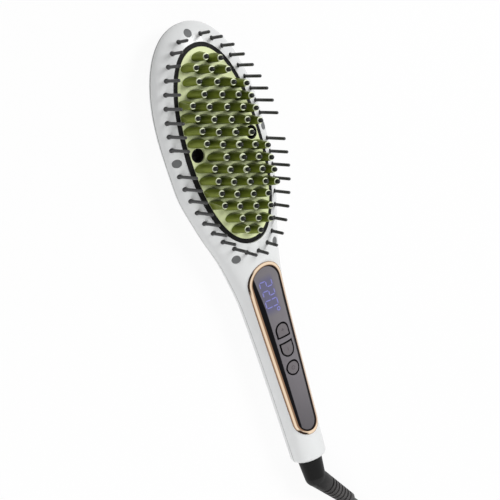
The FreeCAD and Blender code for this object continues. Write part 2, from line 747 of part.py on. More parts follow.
# ---------------------------------------------------------------- back shell
BOARD_SCREW_YS = (float(s.board_top_y) - float(s.board_screw_inset), float(s.board_screw_back_y))


def shield_posts():
    half = float(s.shield_post_spread) / 2
    return [(side * float(s.shield_post_x), PLATE_Y + end * half)
            for side in (-1, 1) for end in (-1, 1)]


def back_shell():
    tongue = housing_solid(float(s.shell_wall) - float(s.tongue_wall)).cut(INNER)
    tongue = tongue.common(slab(PARTING_Z - GAP, PARTING_Z + GAP + float(s.tongue_height)))
    tongue = tongue.common(tongue_zone(float(s.tongue_clearance) * 2))
    top = PARTING_Z - GAP
    boss_radius = float(s.screw_radius) + 2 * float(s.boss_wall)
    posts = [Part.makeCylinder(boss_radius, top, Vector(x, y, 0)) for x, y in screw_points()]
    shield_top = WELL_BASE_Z - float(s.shield_thickness) - 2 * float(s.contact_gap)
    posts += [Part.makeCylinder(float(s.shield_post_radius), shield_top, Vector(x, y, 0))
              for x, y in shield_posts()]
    board_top = float(s.board_z) - float(s.contact_gap)
    posts += [Part.makeCylinder(float(s.board_post_radius), board_top, Vector(0, y, 0))
              for y in BOARD_SCREW_YS]
    rib_top = float(s.shell_wall) + float(s.module_rib_height)
    for end in (-1, 1):
        y = PLATE_Y + end * float(s.module_length) / 3 - float(s.rib_width) / 2
        posts.append(Part.makeBox(float(s.module_width), float(s.rib_width), rib_top,
                                  Vector(-float(s.module_width) / 2, y, 0)))
    shell = OUTER.common(LOWER).cut(INNER.cut(posts)).fuse(tongue)
    bore = float(s.screw_radius) + float(s.screw_clearance)
    screw_tip = PARTING_Z + float(s.screw_web) + float(s.contact_gap) - float(s.screw_length)
    tools = [Part.makeCylinder(bore, CLEAR_Z, Vector(x, y, screw_tip - float(s.screw_tip_gap)))
             for x, y in screw_points()]
    board_bore = float(s.board_screw_radius) + float(s.screw_clearance)
    board_depth = float(s.board_screw_length)
    tools += [Part.makeCylinder(board_bore, board_depth, Vector(0, y, board_top - board_depth))
              for y in BOARD_SCREW_YS]
    return node("back_shell", feature("back_shell", shell.cut(tools + [tail_bore()])))


# ---------------------------------------------------------------- heated plate
def plate_bezel():
    """Oval seal ring: it stands round the plate and its flange carries the plate."""
    ring = oval_prism(BEZEL_GROW, BEZEL_BASE_Z, CLEAR_Z).common(dome_block(float(s.bezel_proud)))
    bore = oval_prism(float(s.plate_clearance), BEZEL_BASE_Z + float(s.bezel_flange), CLEAR_Z)
    window = oval_prism(-float(s.bezel_flange_width), 0, CLEAR_Z)
    return node("plate_bezel", feature("plate_bezel", ring.cut([bore, window])))


POCKET_TOP_Z = float(s.plate_base_z) + float(s.pocket_depth)


def clamp_screw_points():
    half = float(s.clamp_screw_spread) / 2
    return [(side * float(s.clamp_screw_x), PLATE_Y + end * half)
            for side in (-1, 1) for end in (-1, 1)]


def heater_plate():
    base = float(s.plate_base_z)
    plate = oval_prism(0.0, base, CLEAR_Z).common(dome_block(0.0))
    half, length = float(s.pocket_half_width), float(s.pocket_length)
    tools = [Part.makeBox(2 * half, length, POCKET_TOP_Z, Vector(-half, PLATE_Y - length / 2, 0))]
    bore = float(s.clamp_screw_radius) + float(s.contact_gap)
    tools += [Part.makeCylinder(bore, POCKET_TOP_Z, Vector(x, y, 0))
              for x, y in clamp_screw_points()]
    hole = float(s.ion_radius) + float(s.ion_clearance)
    tools += [Part.makeCylinder(hole, CLEAR_Z, Vector(side * float(s.ion_x), PLATE_Y, 0))
              for side in (-1, 1)]
    return node("heater_plate", feature("heater_plate", plate.cut(tools)))


def heater_teeth():
    """The casting's teeth, each a solid of its own that stands on the plate's domed top."""
    ground, edge = dome_block(0.0), oval_prism(0.0, float(s.plate_base_z), CLEAR_Z)
    return group("heater_teeth", [tooth_solid(x, y, ground, edge) for x, y in tooth_places()])


DOME_ANGLES = (22.5, 45.0, 67.5)


def tooth_tips():
    """Nylon caps: a domed head on the tooth's shoulder with a peg in its bore."""
    master = new_body("tooth_tip_master")
    radius, peg = s.cap_radius, s.cap_peg_radius
    straight = s.cap_height - s.cap_radius
    gap = s.cap_clearance
    corners = [(0, -s.cap_peg_length), (peg, -s.cap_peg_length), (peg, gap), (radius, gap),
               (radius, straight)]
    for angle in DOME_ANGLES:
        across, up = math.cos(math.radians(angle)), math.sin(math.radians(angle))
        corners.append((radius * across, straight + radius * up))
    corners.append((0, straight + radius))
    sketch = outline_sketch(master, "XZ_Plane", corners, "tooth_tip_half")
    revolve(master, sketch, "tooth_tip_turned")
    doc.recompute()
    places = [Vector(x, y, shoulder_z(x, y)) for x, y in tooth_places()]
    return group("tooth_tips", copies(master.Shape, places))


def outer_pins():
    """Nylon pins: a flared collar on the seat, a slim shaft and a round tip."""
    radius, collar = float(s.pin_radius), float(s.pin_collar_radius)
    pins = []
    for x, y in pin_points():
        frame, share = pin_frame(x, y)
        shrink = (float(s.pin_length_middle) - float(s.pin_length_end)) * share ** 2
        length = float(s.pin_length_middle) - shrink + float(s.pin_seat_depth)
        stem = Part.makeCylinder(radius, float(s.pin_stem_length) + length - radius,
                                 Vector(0, 0, -float(s.pin_stem_length)))
        flare = Part.makeCone(collar, radius, float(s.pin_collar_height))
        tip = Part.makeSphere(radius, Vector(0, 0, length - radius))
        pins += copies(stem.fuse([flare, tip]).removeSplitter(), [frame])
    return group("outer_pins", pins)


def screw_plugs():
    plugs = []
    flush = housing_solid(float(s.contact_gap))
    for x, y in screw_points():
        seat = plug_seat_z(x, y) + float(s.contact_gap)
        disc = Part.makeCylinder(float(s.plug_radius), CLEAR_Z, Vector(x, y, seat))
        plugs.append(disc.common(flush))
    return group("screw_plugs", plugs)


def screw_body(name, head_radius, head_height, radius, length):
    """A screw with a flat head on z = 0 and its shank below."""
    body = new_body(name)
    corners = [(0, -length), (radius, -length), (radius, 0), (head_radius, 0),
               (head_radius, head_height), (0, head_height)]
    revolve(body, outline_sketch(body, "XZ_Plane", corners, name + "_half"), name + "_turned")
    doc.recompute()
    return body


def housing_screws():
    head_z = PARTING_Z + float(s.screw_web) + float(s.contact_gap)
    master = screw_body("housing_screw_master", s.screw_head_radius,
                        s.screw_head_height - s.contact_gap, s.screw_radius, s.screw_length)
    return group("housing_screws",
                 copies(master.Shape, [Vector(x, y, head_z) for x, y in screw_points()]))


# ---------------------------------------------------------------- ion outlets
ION_BASE_Z = s.plate_base_z + s.contact_gap


def ion_outlets():
    """Black bushes in the plate, open at the top, with a floor that holds the needle."""
    radius, bore = float(s.ion_radius), float(s.ion_radius - s.ion_wall)
    hole = float(s.needle_radius + s.contact_gap)
    base = float(ION_BASE_Z)
    height = dome_z(float(s.ion_x) + radius, PLATE_Y) - base
    shapes = []
    for side in (-1, 1):
        x = side * float(s.ion_x)
        tube = Part.makeCylinder(radius, height, Vector(x, PLATE_Y, base))
        inside = Part.makeCylinder(bore, height, Vector(x, PLATE_Y, base + float(s.ion_floor)))
        needle_hole = Part.makeCylinder(hole, height, Vector(x, PLATE_Y, base - float(s.ion_floor)))
        shapes.append(tube.cut([inside, needle_hole]))
    return group("ion_outlets", shapes)


def ion_needles():
    master = new_body("ion_needle_master")
    radius, length = s.needle_radius, s.needle_length
    corners = [(0, 0), (radius, 0), (radius, s.needle_straight), (0, length)]
    sketch = outline_sketch(master, "XZ_Plane", corners, "ion_needle_half")
    revolve(master, sketch, "ion_needle_turned")
    doc.recompute()
    low_z = float(ION_BASE_Z) - float(s.needle_length) / 4
    places = [Vector(side * float(s.ion_x), PLATE_Y, low_z) for side in (-1, 1)]
    return group("ion_needles", copies(master.Shape, places))


def ion_module():
    """Potted high-voltage block on two ribs of the back shell."""
    body = new_body("ion_module")
    sketch = outline_sketch(body, "XY_Plane", centred_rectangle(s.module_width, s.module_length),
                            "ion_module_outline")
    pad(body, sketch, s.module_height, "ion_module_block")
    bind_place(body, 0, s.plate_centre_y, s.shell_wall + s.module_rib_height + s.contact_gap)
    return node("ion_module", body)


# ---------------------------------------------------------------- heater
POCKET_CEILING = s.plate_base_z + s.pocket_depth
CLAMP_TOP = s.plate_base_z - s.contact_gap


def heating_element():
    body = new_body("heating_element")
    sketch = outline_sketch(body, "XY_Plane",
                            centred_rectangle(2 * s.heater_half_width, s.heater_length),
                            "heating_element_outline")
    pad(body, sketch, s.heater_thickness, "heating_element_bar")
    bind_place(body, 0, s.plate_centre_y, POCKET_CEILING - s.contact_gap - s.heater_thickness)
    return node("heating_element", body)


def mica_sheet():
    body = new_body("mica_sheet")
    sketch = outline_sketch(body, "XY_Plane",
                            centred_rectangle(2 * s.mica_half_width, s.heater_length),
                            "mica_sheet_outline")
    thickness = s.pocket_depth - s.heater_thickness - 3 * s.contact_gap
    pad(body, sketch, thickness, "mica_sheet_pad")
    bind_place(body, 0, s.plate_centre_y, s.plate_base_z)
    return node("mica_sheet", body)


def heater_clamp():
    """Steel plate that presses the bar to the plate."""
    body = new_body("heater_clamp")
    sketch = outline_sketch(body, "XY_Plane",
                            centred_rectangle(2 * s.clamp_half_width, s.clamp_length),
                            "heater_clamp_outline")
    pad(body, sketch, s.clamp_thickness, "heater_clamp_sheet")
    x, y = s.clamp_screw_x, s.clamp_screw_spread / 2
    radius = s.clamp_screw_radius + s.contact_gap
    holes = circle_sketch(body, "XY_Plane", [(x, y, radius), (-x, y, radius), (x, -y, radius),
                                             (-x, -y, radius)], "heater_clamp_holes")
    pocket_through(body, holes, "heater_clamp_drilled")
    bind_place(body, 0, s.plate_centre_y, CLAMP_TOP - s.clamp_thickness)
    return node("heater_clamp", body)


def clamp_screws():
    head_z = float(CLAMP_TOP - s.clamp_thickness - s.contact_gap)
    master = screw_body("clamp_screw_master", s.screw_head_radius, s.clamp_thickness,
                        s.clamp_screw_radius, s.clamp_screw_length)
    flip = Rotation(Vector(1, 0, 0), 180)
    places = [Placement(Vector(x, y, head_z), flip) for x, y in clamp_screw_points()]
    return group("clamp_screws", copies(master.Shape, places))


def pocket_piece(name, side, radius, length):
    """A small round part lying beside the heating bar, on the clamp."""
    x = side * ((s.heater_half_width + s.pocket_half_width) / 2 + s.pocket_part_shift)
    thing = cylinder(name, radius, length, x, s.plate_centre_y - length / 2,
                     s.plate_base_z + radius + s.contact_gap, Vector(0, 1, 0))
    return node(name, thing)


def heat_shield():
    """Oval sheet between the heater and the back shell, on four posts under the well."""
    z = WELL_BASE_Z - float(s.shield_thickness) - float(s.contact_gap)
    thing = feature("heat_shield", oval_prism(0.0, z, z + float(s.shield_thickness)))
    return node("heat_shield", thing)


# ---------------------------------------------------------------- panel
def between_skins(prism, lift, sink):
    """The part of a prism that lies between two forms parallel to the housing."""
    return prism.common(housing_solid(-float(lift))).cut(housing_solid(float(sink)))


def panel_trim():
    ring = slot_prism(0.0, PARTING_Z, CLEAR_Z).cut(slot_prism(float(s.trim_width), 0, 2 * CLEAR_Z))
    return node("panel_trim",
                feature("panel_trim", between_skins(ring, s.trim_proud, s.recess_depth)))


def panel_lens():
    inset = float(s.trim_width) + float(s.panel_clearance)
    lens = between_skins(slot_prism(inset, PARTING_Z, CLEAR_Z), s.lens_proud, s.recess_depth)
    holes = [key_prism(kind, float(s.key_gap), 0, 2 * CLEAR_Z) for kind in KEY_KINDS]
    return node("panel_lens", feature("panel_lens", lens.cut(holes)))


def key(kind):
    """A key cap: its top follows the panel, its flange keeps it under the panel."""
    low = float(s.key_flange_z)
    cap = key_prism(kind, 0.0, low, CLEAR_Z)
    cap = cap.common(housing_solid(-float(s.lens_proud) - float(s.key_proud)))
    flange = key_prism(kind, float(s.key_flange_width), low, CLEAR_Z)
    flange = flange.common(housing_solid(float(s.recess_depth) + float(s.key_flange_gap)))
    return node("key_" + kind, feature("key_" + kind, cap.fuse(flange)))


BOARD_TOP = s.board_z + s.board_thickness
SWITCH_TOP = BOARD_TOP + s.solder_gap + s.switch_height


def key_stem(kind):
    """Round stem under a key; it slides in the switch."""
    low = BOARD_TOP + s.solder_gap + s.switch_floor + s.key_travel + s.stem_clearance
    thing = cylinder("stem_" + kind, s.stem_radius, s.key_flange_z - s.contact_gap - low,
                     0, KEY_Y[kind], low)
    return node("stem_" + kind, thing)


def key_switches():
    """Three tact switch bodies, each with a bore for its stem."""
    master = new_body("key_switch_master")
    sketch = outline_sketch(master, "XY_Plane", centred_rectangle(s.switch_width, s.switch_width),
                            "key_switch_outline")
    pad(master, sketch, s.switch_height, "key_switch_block")
    doc.recompute()
    bore = Part.makeCylinder(float(s.stem_radius) + float(s.stem_clearance),
                             float(s.switch_height), Vector(0, 0, float(s.switch_floor)))
    places = [Vector(0, float(KEY_Y[kind]), float(BOARD_TOP + s.solder_gap))
              for kind in KEY_KINDS]
    return group("key_switches", copies(master.Shape.cut(bore), places))


# ---------------------------------------------------------------- board
def control_board():
    body = new_body("control_board")
    half, top, low = s.board_half_width, s.board_top_y, s.board_top_y - s.board_length
    sketch = outline_sketch(body, "XY_Plane", [(-half, low), (half, low), (half, top),
                                               (-half, top)], "control_board_outline")
    pad(body, sketch, s.board_thickness, "control_board_sheet")
    radius = s.board_screw_radius + s.contact_gap
    holes = circle_sketch(body, "XY_Plane", [(0, top - s.board_screw_inset, radius),
                                             (0, s.board_screw_back_y, radius)],
                          "control_board_holes")
    pocket_through(body, holes, "control_board_drilled")
    bind_place(body, 0, 0, s.board_z)
    return node("control_board", body)


def board_screws():
    master = screw_body("board_screw_master", s.screw_head_radius, s.clamp_thickness,
                        s.board_screw_radius, s.board_screw_length)
    head_z = float(BOARD_TOP + s.solder_gap)
    return group("board_screws",
                 copies(master.Shape, [Vector(0, y, head_z) for y in BOARD_SCREW_YS]))


def display_module():
    """Digit block on the board, with a shallow tray at its top."""
    body = new_body("display_module")
    sketch = outline_sketch(body, "XY_Plane",
                            centred_rectangle(s.display_width, s.display_length),
                            "display_module_outline")
    pad(body, sketch, s.display_height, "display_module_block")
    bind_place(body, 0, s.display_centre_y, BOARD_TOP + s.solder_gap)
    return node("display_module", body)


def board_parts():
    """Smoothing capacitor and relay on the back half of the board."""
    capacitor = cylinder("capacitor_master", s.capacitor_radius, s.capacitor_length, 0,
                         s.power_parts_y - s.capacitor_length,
                         BOARD_TOP + s.solder_gap + s.capacitor_radius, Vector(0, 1, 0))
    relay = box("relay_master", 2 * s.capacitor_radius, s.relay_length, s.relay_height, 0,
                s.power_parts_y + s.relay_length / 2 + s.contact_gap, BOARD_TOP + s.solder_gap)
    doc.recompute()
    return group("board_parts", [capacitor.Shape.copy(), relay.Shape.copy()])


# ---------------------------------------------------------------- leads
def heater_leads():
    """Four insulated leads from the board into the well under the plate."""
    shapes = []
    for number in range(4):
        x = (number - 1.5) * float(s.lead_spacing)
        start = Vector(x, float(s.board_top_y) + float(s.contact_gap), float(s.lead_z))
        shapes.append(rod(float(s.lead_radius), start, Vector(x, float(s.lead_end_y),
                                                              float(s.lead_z))))
    return group("heater_leads", shapes)


HOLDER_Y = s.shell_wall + s.hub_flange_width + 2 * s.groove_clearance - s.overall_length / 2
HOLDER_FRONT_Y = HOLDER_Y + s.holder_length
HOLDER_TOP = s.parting_z - s.slip_ring_radius - s.leaf_thickness - 3 * s.contact_gap


def mains_leads():
    """Two leads from the swivel's contacts up to the board."""
    shapes = []
    radius = float(s.lead_radius)
    board_y = float(s.board_top_y) - float(s.board_length) + 4 * radius
    for side in (-1, 1):
        x = side * float(s.lead_spacing)
        low = Vector(x, float(HOLDER_FRONT_Y) + 2 * radius, float(HOLDER_TOP) - radius)
        high = Vector(x, board_y, float(s.board_z) - 2 * radius)
        shapes.append(rod(radius, low, high))
    return group("mains_leads", shapes)


# ---------------------------------------------------------------- cord swivel
def swivel_hub():
    """Turned black hub: a round-ended collar outside, a groove that the tail end grips, a
    flange and a spindle inside."""
    body = new_body("swivel_hub")
    outside = s.hub_gap
    groove_in = s.shell_wall + s.groove_clearance
    flange_in = groove_in + s.hub_flange_width
    spindle_in = flange_in + s.spindle_length
    corners = [(0, -s.hub_length)]
    for angle in (0.0,) + DOME_ANGLES + (90.0,):
        out, back = math.sin(math.radians(angle)), 1 - math.cos(math.radians(angle))
        corners.append((s.hub_tip_radius - s.hub_end_round + s.hub_end_round * out,
                        -s.hub_length + s.hub_end_round * back))
    corners += [(s.hub_radius, -outside - s.hub_rim_width),
                (s.hub_radius, -outside), (s.neck_groove_radius, -outside),
                (s.neck_groove_radius, groove_in), (s.hub_flange_radius, groove_in),
                (s.hub_flange_radius, flange_in), (s.spindle_radius, flange_in),
                (s.spindle_radius, spindle_in), (0, spindle_in)]
    sketch = outline_sketch(body, "XY_Plane", corners, "swivel_hub_half")
    revolve(body, sketch, "swivel_hub_turned")
    bind_place(body, 0, -s.overall_length / 2, s.parting_z)
    return node("swivel_hub", body)


RING_Y = HOLDER_Y + s.groove_clearance + s.slip_ring_width / 2 + s.ring_inset


def swivel_rings():
    shapes = []
    for number in range(2):
        y = float(RING_Y) + number * float(s.slip_ring_pitch) - float(s.slip_ring_width) / 2
        ring = Part.makeCylinder(float(s.slip_ring_radius), float(s.slip_ring_width),
                                 Vector(0, y, PARTING_Z), Vector(0, 1, 0))
        bore = Part.makeCylinder(float(s.spindle_radius) + float(s.slip_ring_clearance),
                                 float(s.slip_ring_width), Vector(0, y, PARTING_Z),
                                 Vector(0, 1, 0))
        shapes.append(ring.cut(bore))
    return group("swivel_rings", shapes)


def swivel_holder():
    """Block on the back shell's inside, under the slip rings."""
    body = new_body("swivel_holder_block")
    sketch = outline_sketch(body, "XY_Plane",
                            centred_rectangle(2 * s.holder_half_width, s.holder_length),
                            "swivel_holder_outline")
    pad(body, sketch, HOLDER_TOP, "swivel_holder_pad")
    bind_place(body, 0, HOLDER_Y + s.holder_length / 2, 0)
    inside = feature("tail_inside", housing_solid(float(s.shell_wall + s.contact_gap)))
    return node("swivel_holder", shared("swivel_holder", body, inside))


def swivel_contacts():
    shapes = []
    for number in range(2):
        y = float(RING_Y) + number * float(s.slip_ring_pitch)
        leaf = Part.makeBox(2 * float(s.leaf_half_width), float(s.leaf_length),
                            float(s.leaf_thickness),
                            Vector(-float(s.leaf_half_width), y - float(s.leaf_length) / 2,
                                   float(HOLDER_TOP) + float(s.contact_gap)))
        shapes.append(leaf)
    return group("swivel_contacts", shapes)


# ---------------------------------------------------------------- cord
YAW = math.radians(float(s.sleeve_yaw))
DROP = math.radians(float(s.sleeve_drop))
SLEEVE_WAY = Vector(math.sin(YAW) * math.cos(DROP), -math.cos(YAW) * math.cos(DROP),
                    -math.sin(DROP))
ELBOW = Vector(0, TAIL_Y - float(s.hub_length) + float(s.elbow_sink), PARTING_Z)
SLEEVE_END = ELBOW + SLEEVE_WAY * float(s.sleeve_length)
CORD_Z = float(s.cord_radius)
COIL_BAND = float(s.coil_lanes) * float(s.cord_radius)
COIL_OUTER = float(s.coil_radius) + COIL_BAND
COIL_LANE = COIL_OUTER - float(s.cord_radius)
COIL_LOW_Z = float(s.coil_lift)
COIL_HIGH_Z = COIL_LOW_Z + 2 * float(s.cord_radius) * float(s.coil_layers)
COIL_CORD_Z = COIL_LOW_Z + float(s.cord_radius)

# The cord's runs: heading in degrees from -Y towards +X, length on the floor, and the height of
# the cord's middle at the run's end.
LEAD_RUNS = [(38.0, 11.0, CORD_Z + 0.9), (29.0, 14.0, CORD_Z + 0.3), (20.0, 16.0, CORD_Z + 0.2),
             (11.0, 16.0, COIL_CORD_Z)]
TAIL_RUNS = [(0.0, 19.0, 15.0), (-15.0, 19.0, 11.8), (-40.0, 17.0, 7.6), (-65.0, 16.0, 6.2),
             (-90.0, 15.0, float(s.plug_half_thickness))]


def route(start, runs):
    """The points at the ends of the runs, from the start on."""
    points = [start]
    for heading, length, height in runs:
        turn = math.radians(heading)
        last = points[-1]
        points.append(Vector(last.x + length * math.sin(turn), last.y - length * math.cos(turn),
                             height))
    return points


# The lead meets the coil along a tangent; the tail leaves its top layer at the +X side.
LEAD_ROUTE = route(SLEEVE_END, LEAD_RUNS)
ENTRY_ANGLE = LEAD_RUNS[-1][0]
COIL_X = LEAD_ROUTE[-1].x - COIL_LANE * math.cos(math.radians(ENTRY_ANGLE))
COIL_Y = LEAD_ROUTE[-1].y - COIL_LANE * math.sin(math.radians(ENTRY_ANGLE))
EXIT_Z = COIL_HIGH_Z - float(s.cord_radius)
EXIT_ANGLE = 0.0
TAIL_ROUTE = route(Vector(COIL_X + COIL_LANE, COIL_Y, EXIT_Z), TAIL_RUNS)
PLUG_FACE = TAIL_ROUTE[-1]


# Share of the shorter of two runs that the arc between them takes up.
TRIM_SHARE = 0.45


def route_wire(points, name):
    """Straight runs joined by tangent arcs, each as large as its two runs allow."""
    edges, start, radii = [], points[0], []
    for before, corner, after in zip(points, points[1:], points[2:]):
        way_in, way_out = (corner - before), (after - corner)
        shorter = min(way_in.Length, way_out.Length)
        way_in.normalize()
        way_out.normalize()
        turn = way_in.getAngle(way_out)
        trim = TRIM_SHARE * shorter
        radius = trim / math.tan(turn / 2)
        radii.append(radius)
        first, last = corner - way_in * trim, corner + way_out * trim
        inward = way_out - way_in
        inward.normalize()
        bulge = corner + inward * (radius / math.cos(turn / 2) - radius)
        edges.append(Part.LineSegment(start, first).toShape())
        edges.append(Part.Arc(first, bulge, last).toShape())
        start = last
    edges.append(Part.LineSegment(start, points[-1]).toShape())
    print(name, "arc radii in cord diameters:",
          [round(radius / (2 * float(s.cord_radius)), 1) for radius in radii])
    return Part.Wire(edges)


def cord_tube(name, points):
    path = route_wire(points, name)
    first = points[1] - points[0]
    circle = Part.Wire([Part.Circle(points[0], first, float(s.cord_radius)).toShape()])
    tube = path.makePipeShell([circle], True, True)
    section = math.pi * float(s.cord_radius) ** 2
    print(name, "length", round(path.Length, 1), "volume share",
          round(tube.Volume / (section * path.Length), 4))
    return node(name, feature(name, tube))


def ring_block(grow):
    """The coil's outer form, grown on every side."""
    outer, inner = COIL_OUTER + grow, COIL_OUTER - 2 * COIL_BAND - grow
    base = Vector(COIL_X, COIL_Y, COIL_LOW_Z - grow)
    height = COIL_HIGH_Z - COIL_LOW_Z + 2 * grow
    return Part.makeCylinder(outer, height, base).cut(Part.makeCylinder(inner, height, base))


def coil_notch(angle, way, cord_z):
    """Room beside a turn of the coil for the cord that meets it along a tangent."""
    half, length = float(s.cord_radius + s.notch_clearance), float(s.notch_length)
    low = max(cord_z - half, 0.0)
    notch = Part.makeBox(4 * half, length, cord_z + half - low,
                         Vector(COIL_LANE - half, 0 if way > 0 else -length, low))
    notch.Placement = Placement(Vector(COIL_X, COIL_Y, 0), Rotation(Vector(0, 0, 1), angle))
    return notch


def cord_coil():
    """Outer form of the coil, with a notch where the cord comes in and one where it leaves."""
    ring = ring_block(0.0)
    ring = ring.makeFillet(float(s.coil_rounding), [edge for edge in ring.Edges if edge.Closed])
    notches = [coil_notch(ENTRY_ANGLE, 1, COIL_CORD_Z), coil_notch(EXIT_ANGLE, -1, EXIT_Z)]
    return node("cord_coil", feature("cord_coil", ring.cut(notches)))


def cord_tie():
    """Strap round the coil's band, on its -X side."""
    inside = float(s.tie_clearance)
    strap = ring_block(inside + float(s.tie_thickness)).cut(ring_block(inside))
    half = float(s.tie_half_width)
    window = Part.makeBox(2 * COIL_OUTER, 2 * half, 4 * COIL_HIGH_Z,
                          Vector(COIL_X - 2 * COIL_OUTER, COIL_Y - half, -COIL_HIGH_Z))
    return node("cord_tie", feature("cord_tie", strap.common(window)))


def cord_sleeve():
    """Ribbed, tapered strain relief, turned about its own axis, that starts in the hub."""
    length, ribs = float(s.sleeve_length), int(float(s.sleeve_ribs))
    root, tip = float(s.sleeve_root_radius), float(s.sleeve_tip_radius)

    def radius_at(along):
        return root + (tip - root) * along / length

    plain, gap_share = float(s.sleeve_plain_length), float(s.rib_gap_share)
    pitch = (length - plain) / (ribs + 0.5)
    depth = float(s.rib_depth)
    corners = [Vector(0, 0, 0), Vector(root, 0, 0), Vector(radius_at(plain), 0, plain)]
    for number in range(ribs):
        low = plain + number * pitch
        mid, high = low + pitch * gap_share, low + pitch
        corners += [Vector(radius_at(low) - depth, 0, low), Vector(radius_at(mid) - depth, 0, mid),
                    Vector(radius_at(mid), 0, mid), Vector(radius_at(high), 0, high)]
    corners += [Vector(tip, 0, length), Vector(0, 0, length)]
    face = Part.Face(Part.makePolygon(corners + corners[:1]))
    turned_sleeve = face.revolve(Vector(), Vector(0, 0, 1), 360)
    turned_sleeve.Placement = Placement(ELBOW, Rotation(Vector(0, 0, 1), SLEEVE_WAY))
    knuckle = Part.makeSphere(float(s.hub_tip_radius - s.contact_gap), ELBOW)
    sleeve = turned_sleeve.fuse(knuckle)
    hub_form = nodes["swivel_hub"].Shape
    return node("cord_sleeve", feature("cord_sleeve", sleeve.cut(hub_form)))


PRONG_WAY = Vector(-1, 0, 0)


def plug_body():
    """Flat two-pole plug body: its neck takes the cord, its wide end holds the prongs."""
    body = new_body("plug_body")
    neck, wide = s.plug_neck_half_width, s.plug_half_width
    length = s.plug_length
    narrow, flared = s.plug_neck_length, s.plug_neck_length + s.plug_flare_length
    corners = [(0, -neck), (narrow, -neck), (flared, -wide), (length, -wide),
               (length, wide), (flared, wide), (narrow, neck), (0, neck)]
    corners = [(-x if isinstance(x, Size) else x, y) for x, y in corners]
    sketch = outline_sketch(body, "XY_Plane", corners, "plug_body_outline")
    pad(body, sketch, 2 * s.plug_half_thickness, "plug_body_block")
    doc.recompute()
    upright = [i for i, edge in enumerate(body.Shape.Edges, start=1)
               if edge.BoundBox.ZLength > float(s.plug_half_thickness)]
    round_edges(body, upright, s.plug_corner_radius, "plug_body_corners")
    doc.recompute()
    level = [i for i, edge in enumerate(body.Shape.Edges, start=1)
             if edge.BoundBox.ZLength < 0.01]
    round_edges(body, level, s.plug_edge_radius, "plug_body_rims")
    body.setExpression("Placement.Base.x", repr(PLUG_FACE.x))
    body.setExpression("Placement.Base.y", repr(PLUG_FACE.y))
    doc.recompute()
    return node("plug_body", body)


def plug_prongs():
    """Two round prongs with insulating sleeves, seated in the plug's end."""
    shapes = []
    end = PLUG_FACE.x - float(s.plug_length)
    for side in (-1, 1):
        y = PLUG_FACE.y + side * float(s.prong_spacing) / 2
        start = Vector(end - float(s.contact_gap), y, float(s.plug_half_thickness))
        prong = Part.makeCylinder(float(s.prong_radius), float(s.prong_length), start, PRONG_WAY)
        tip = [edge for edge in prong.Edges
               if edge.Closed and edge.CenterOfMass.x < start.x - float(s.prong_length) + 0.1]
        shapes.append(prong.makeFillet(float(s.prong_tip_radius), tip))
    return group("plug_prongs", shapes)


# ---------------------------------------------------------------- build and write
front_shell()
back_shell()
plate_bezel()
heater_plate()
heater_teeth()
tooth_tips()
outer_pins()
screw_plugs()
housing_screws()
ion_outlets()
ion_needles()
ion_module()
heating_element()
mica_sheet()
heater_clamp()
clamp_screws()
pocket_piece("thermal_fuse", -1, s.fuse_radius, s.fuse_length)
pocket_piece("thermistor", 1, s.bead_radius, s.bead_length)
heat_shield()
panel_trim()
panel_lens()
for kind in KEY_KINDS:
    key(kind)
    key_stem(kind)
key_switches()
control_board()
board_screws()
display_module()
board_parts()
heater_leads()
mains_leads()
swivel_hub()
swivel_rings()
swivel_holder()
swivel_contacts()
doc.recompute()
cord_sleeve()
cord_tube("cord_lead", LEAD_ROUTE)
cord_coil()
cord_tie()
cord_tube("cord_tail", TAIL_ROUTE)
plug_body()
plug_prongs()

doc.recompute()
for thing in doc.Objects:
    if "Invalid" in thing.State or "Error" in thing.State:
        raise SystemExit("failed: %s %s" % (thing.Name, thing.State))
os.makedirs("parts", exist_ok=True)
for name, thing in nodes.items():
    shape = thing.Shape
    if shape.isNull() or not shape.isValid():
        raise SystemExit("bad shape: %s" % name)
    shape.exportStep(os.path.join("parts", name + ".step"))
    box_size = shape.BoundBox
    print("%-18s solids %3d volume %9.1f box %.1f %.1f %.1f to %.1f %.1f %.1f" % (
        name, len(shape.Solids), shape.Volume, box_size.XMin, box_size.YMin, box_size.ZMin,
        box_size.XMax, box_size.YMax, box_size.ZMax))
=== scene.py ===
import math

import bmesh
import bpy
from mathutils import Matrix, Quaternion, Vector
from mathutils.bvhtree import BVHTree


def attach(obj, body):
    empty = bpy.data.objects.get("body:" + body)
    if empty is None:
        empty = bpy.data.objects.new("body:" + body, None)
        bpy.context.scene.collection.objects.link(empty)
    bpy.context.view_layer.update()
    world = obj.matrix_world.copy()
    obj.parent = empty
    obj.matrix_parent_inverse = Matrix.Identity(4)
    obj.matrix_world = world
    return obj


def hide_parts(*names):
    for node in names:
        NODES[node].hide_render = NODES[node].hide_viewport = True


# Looks of the heated straightening brush: materials on the CAD nodes, the smooth cord, and the
# digits and signs on the display panel.  Metres, in the CAD frame: +Y to the head's tip, +Z up.

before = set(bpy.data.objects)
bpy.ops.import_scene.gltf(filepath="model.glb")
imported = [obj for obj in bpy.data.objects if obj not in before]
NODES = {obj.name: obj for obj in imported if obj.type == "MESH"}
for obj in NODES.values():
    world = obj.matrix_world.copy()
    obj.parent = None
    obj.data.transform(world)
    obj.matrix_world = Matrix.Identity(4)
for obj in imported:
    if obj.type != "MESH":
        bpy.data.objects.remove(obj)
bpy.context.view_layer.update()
SCENE = bpy.context.scene
SCENE.view_settings.view_transform = "Standard"

# The handle's end, the height of the parting between the shells, and the swivel's elbow.
TAIL_Y = -0.13865
PARTING_Z = 0.0125
HUB_LENGTH, ELBOW_SINK = 0.0165, 0.0025
ELBOW = Vector((0.0, TAIL_Y - HUB_LENGTH + ELBOW_SINK, PARTING_Z))

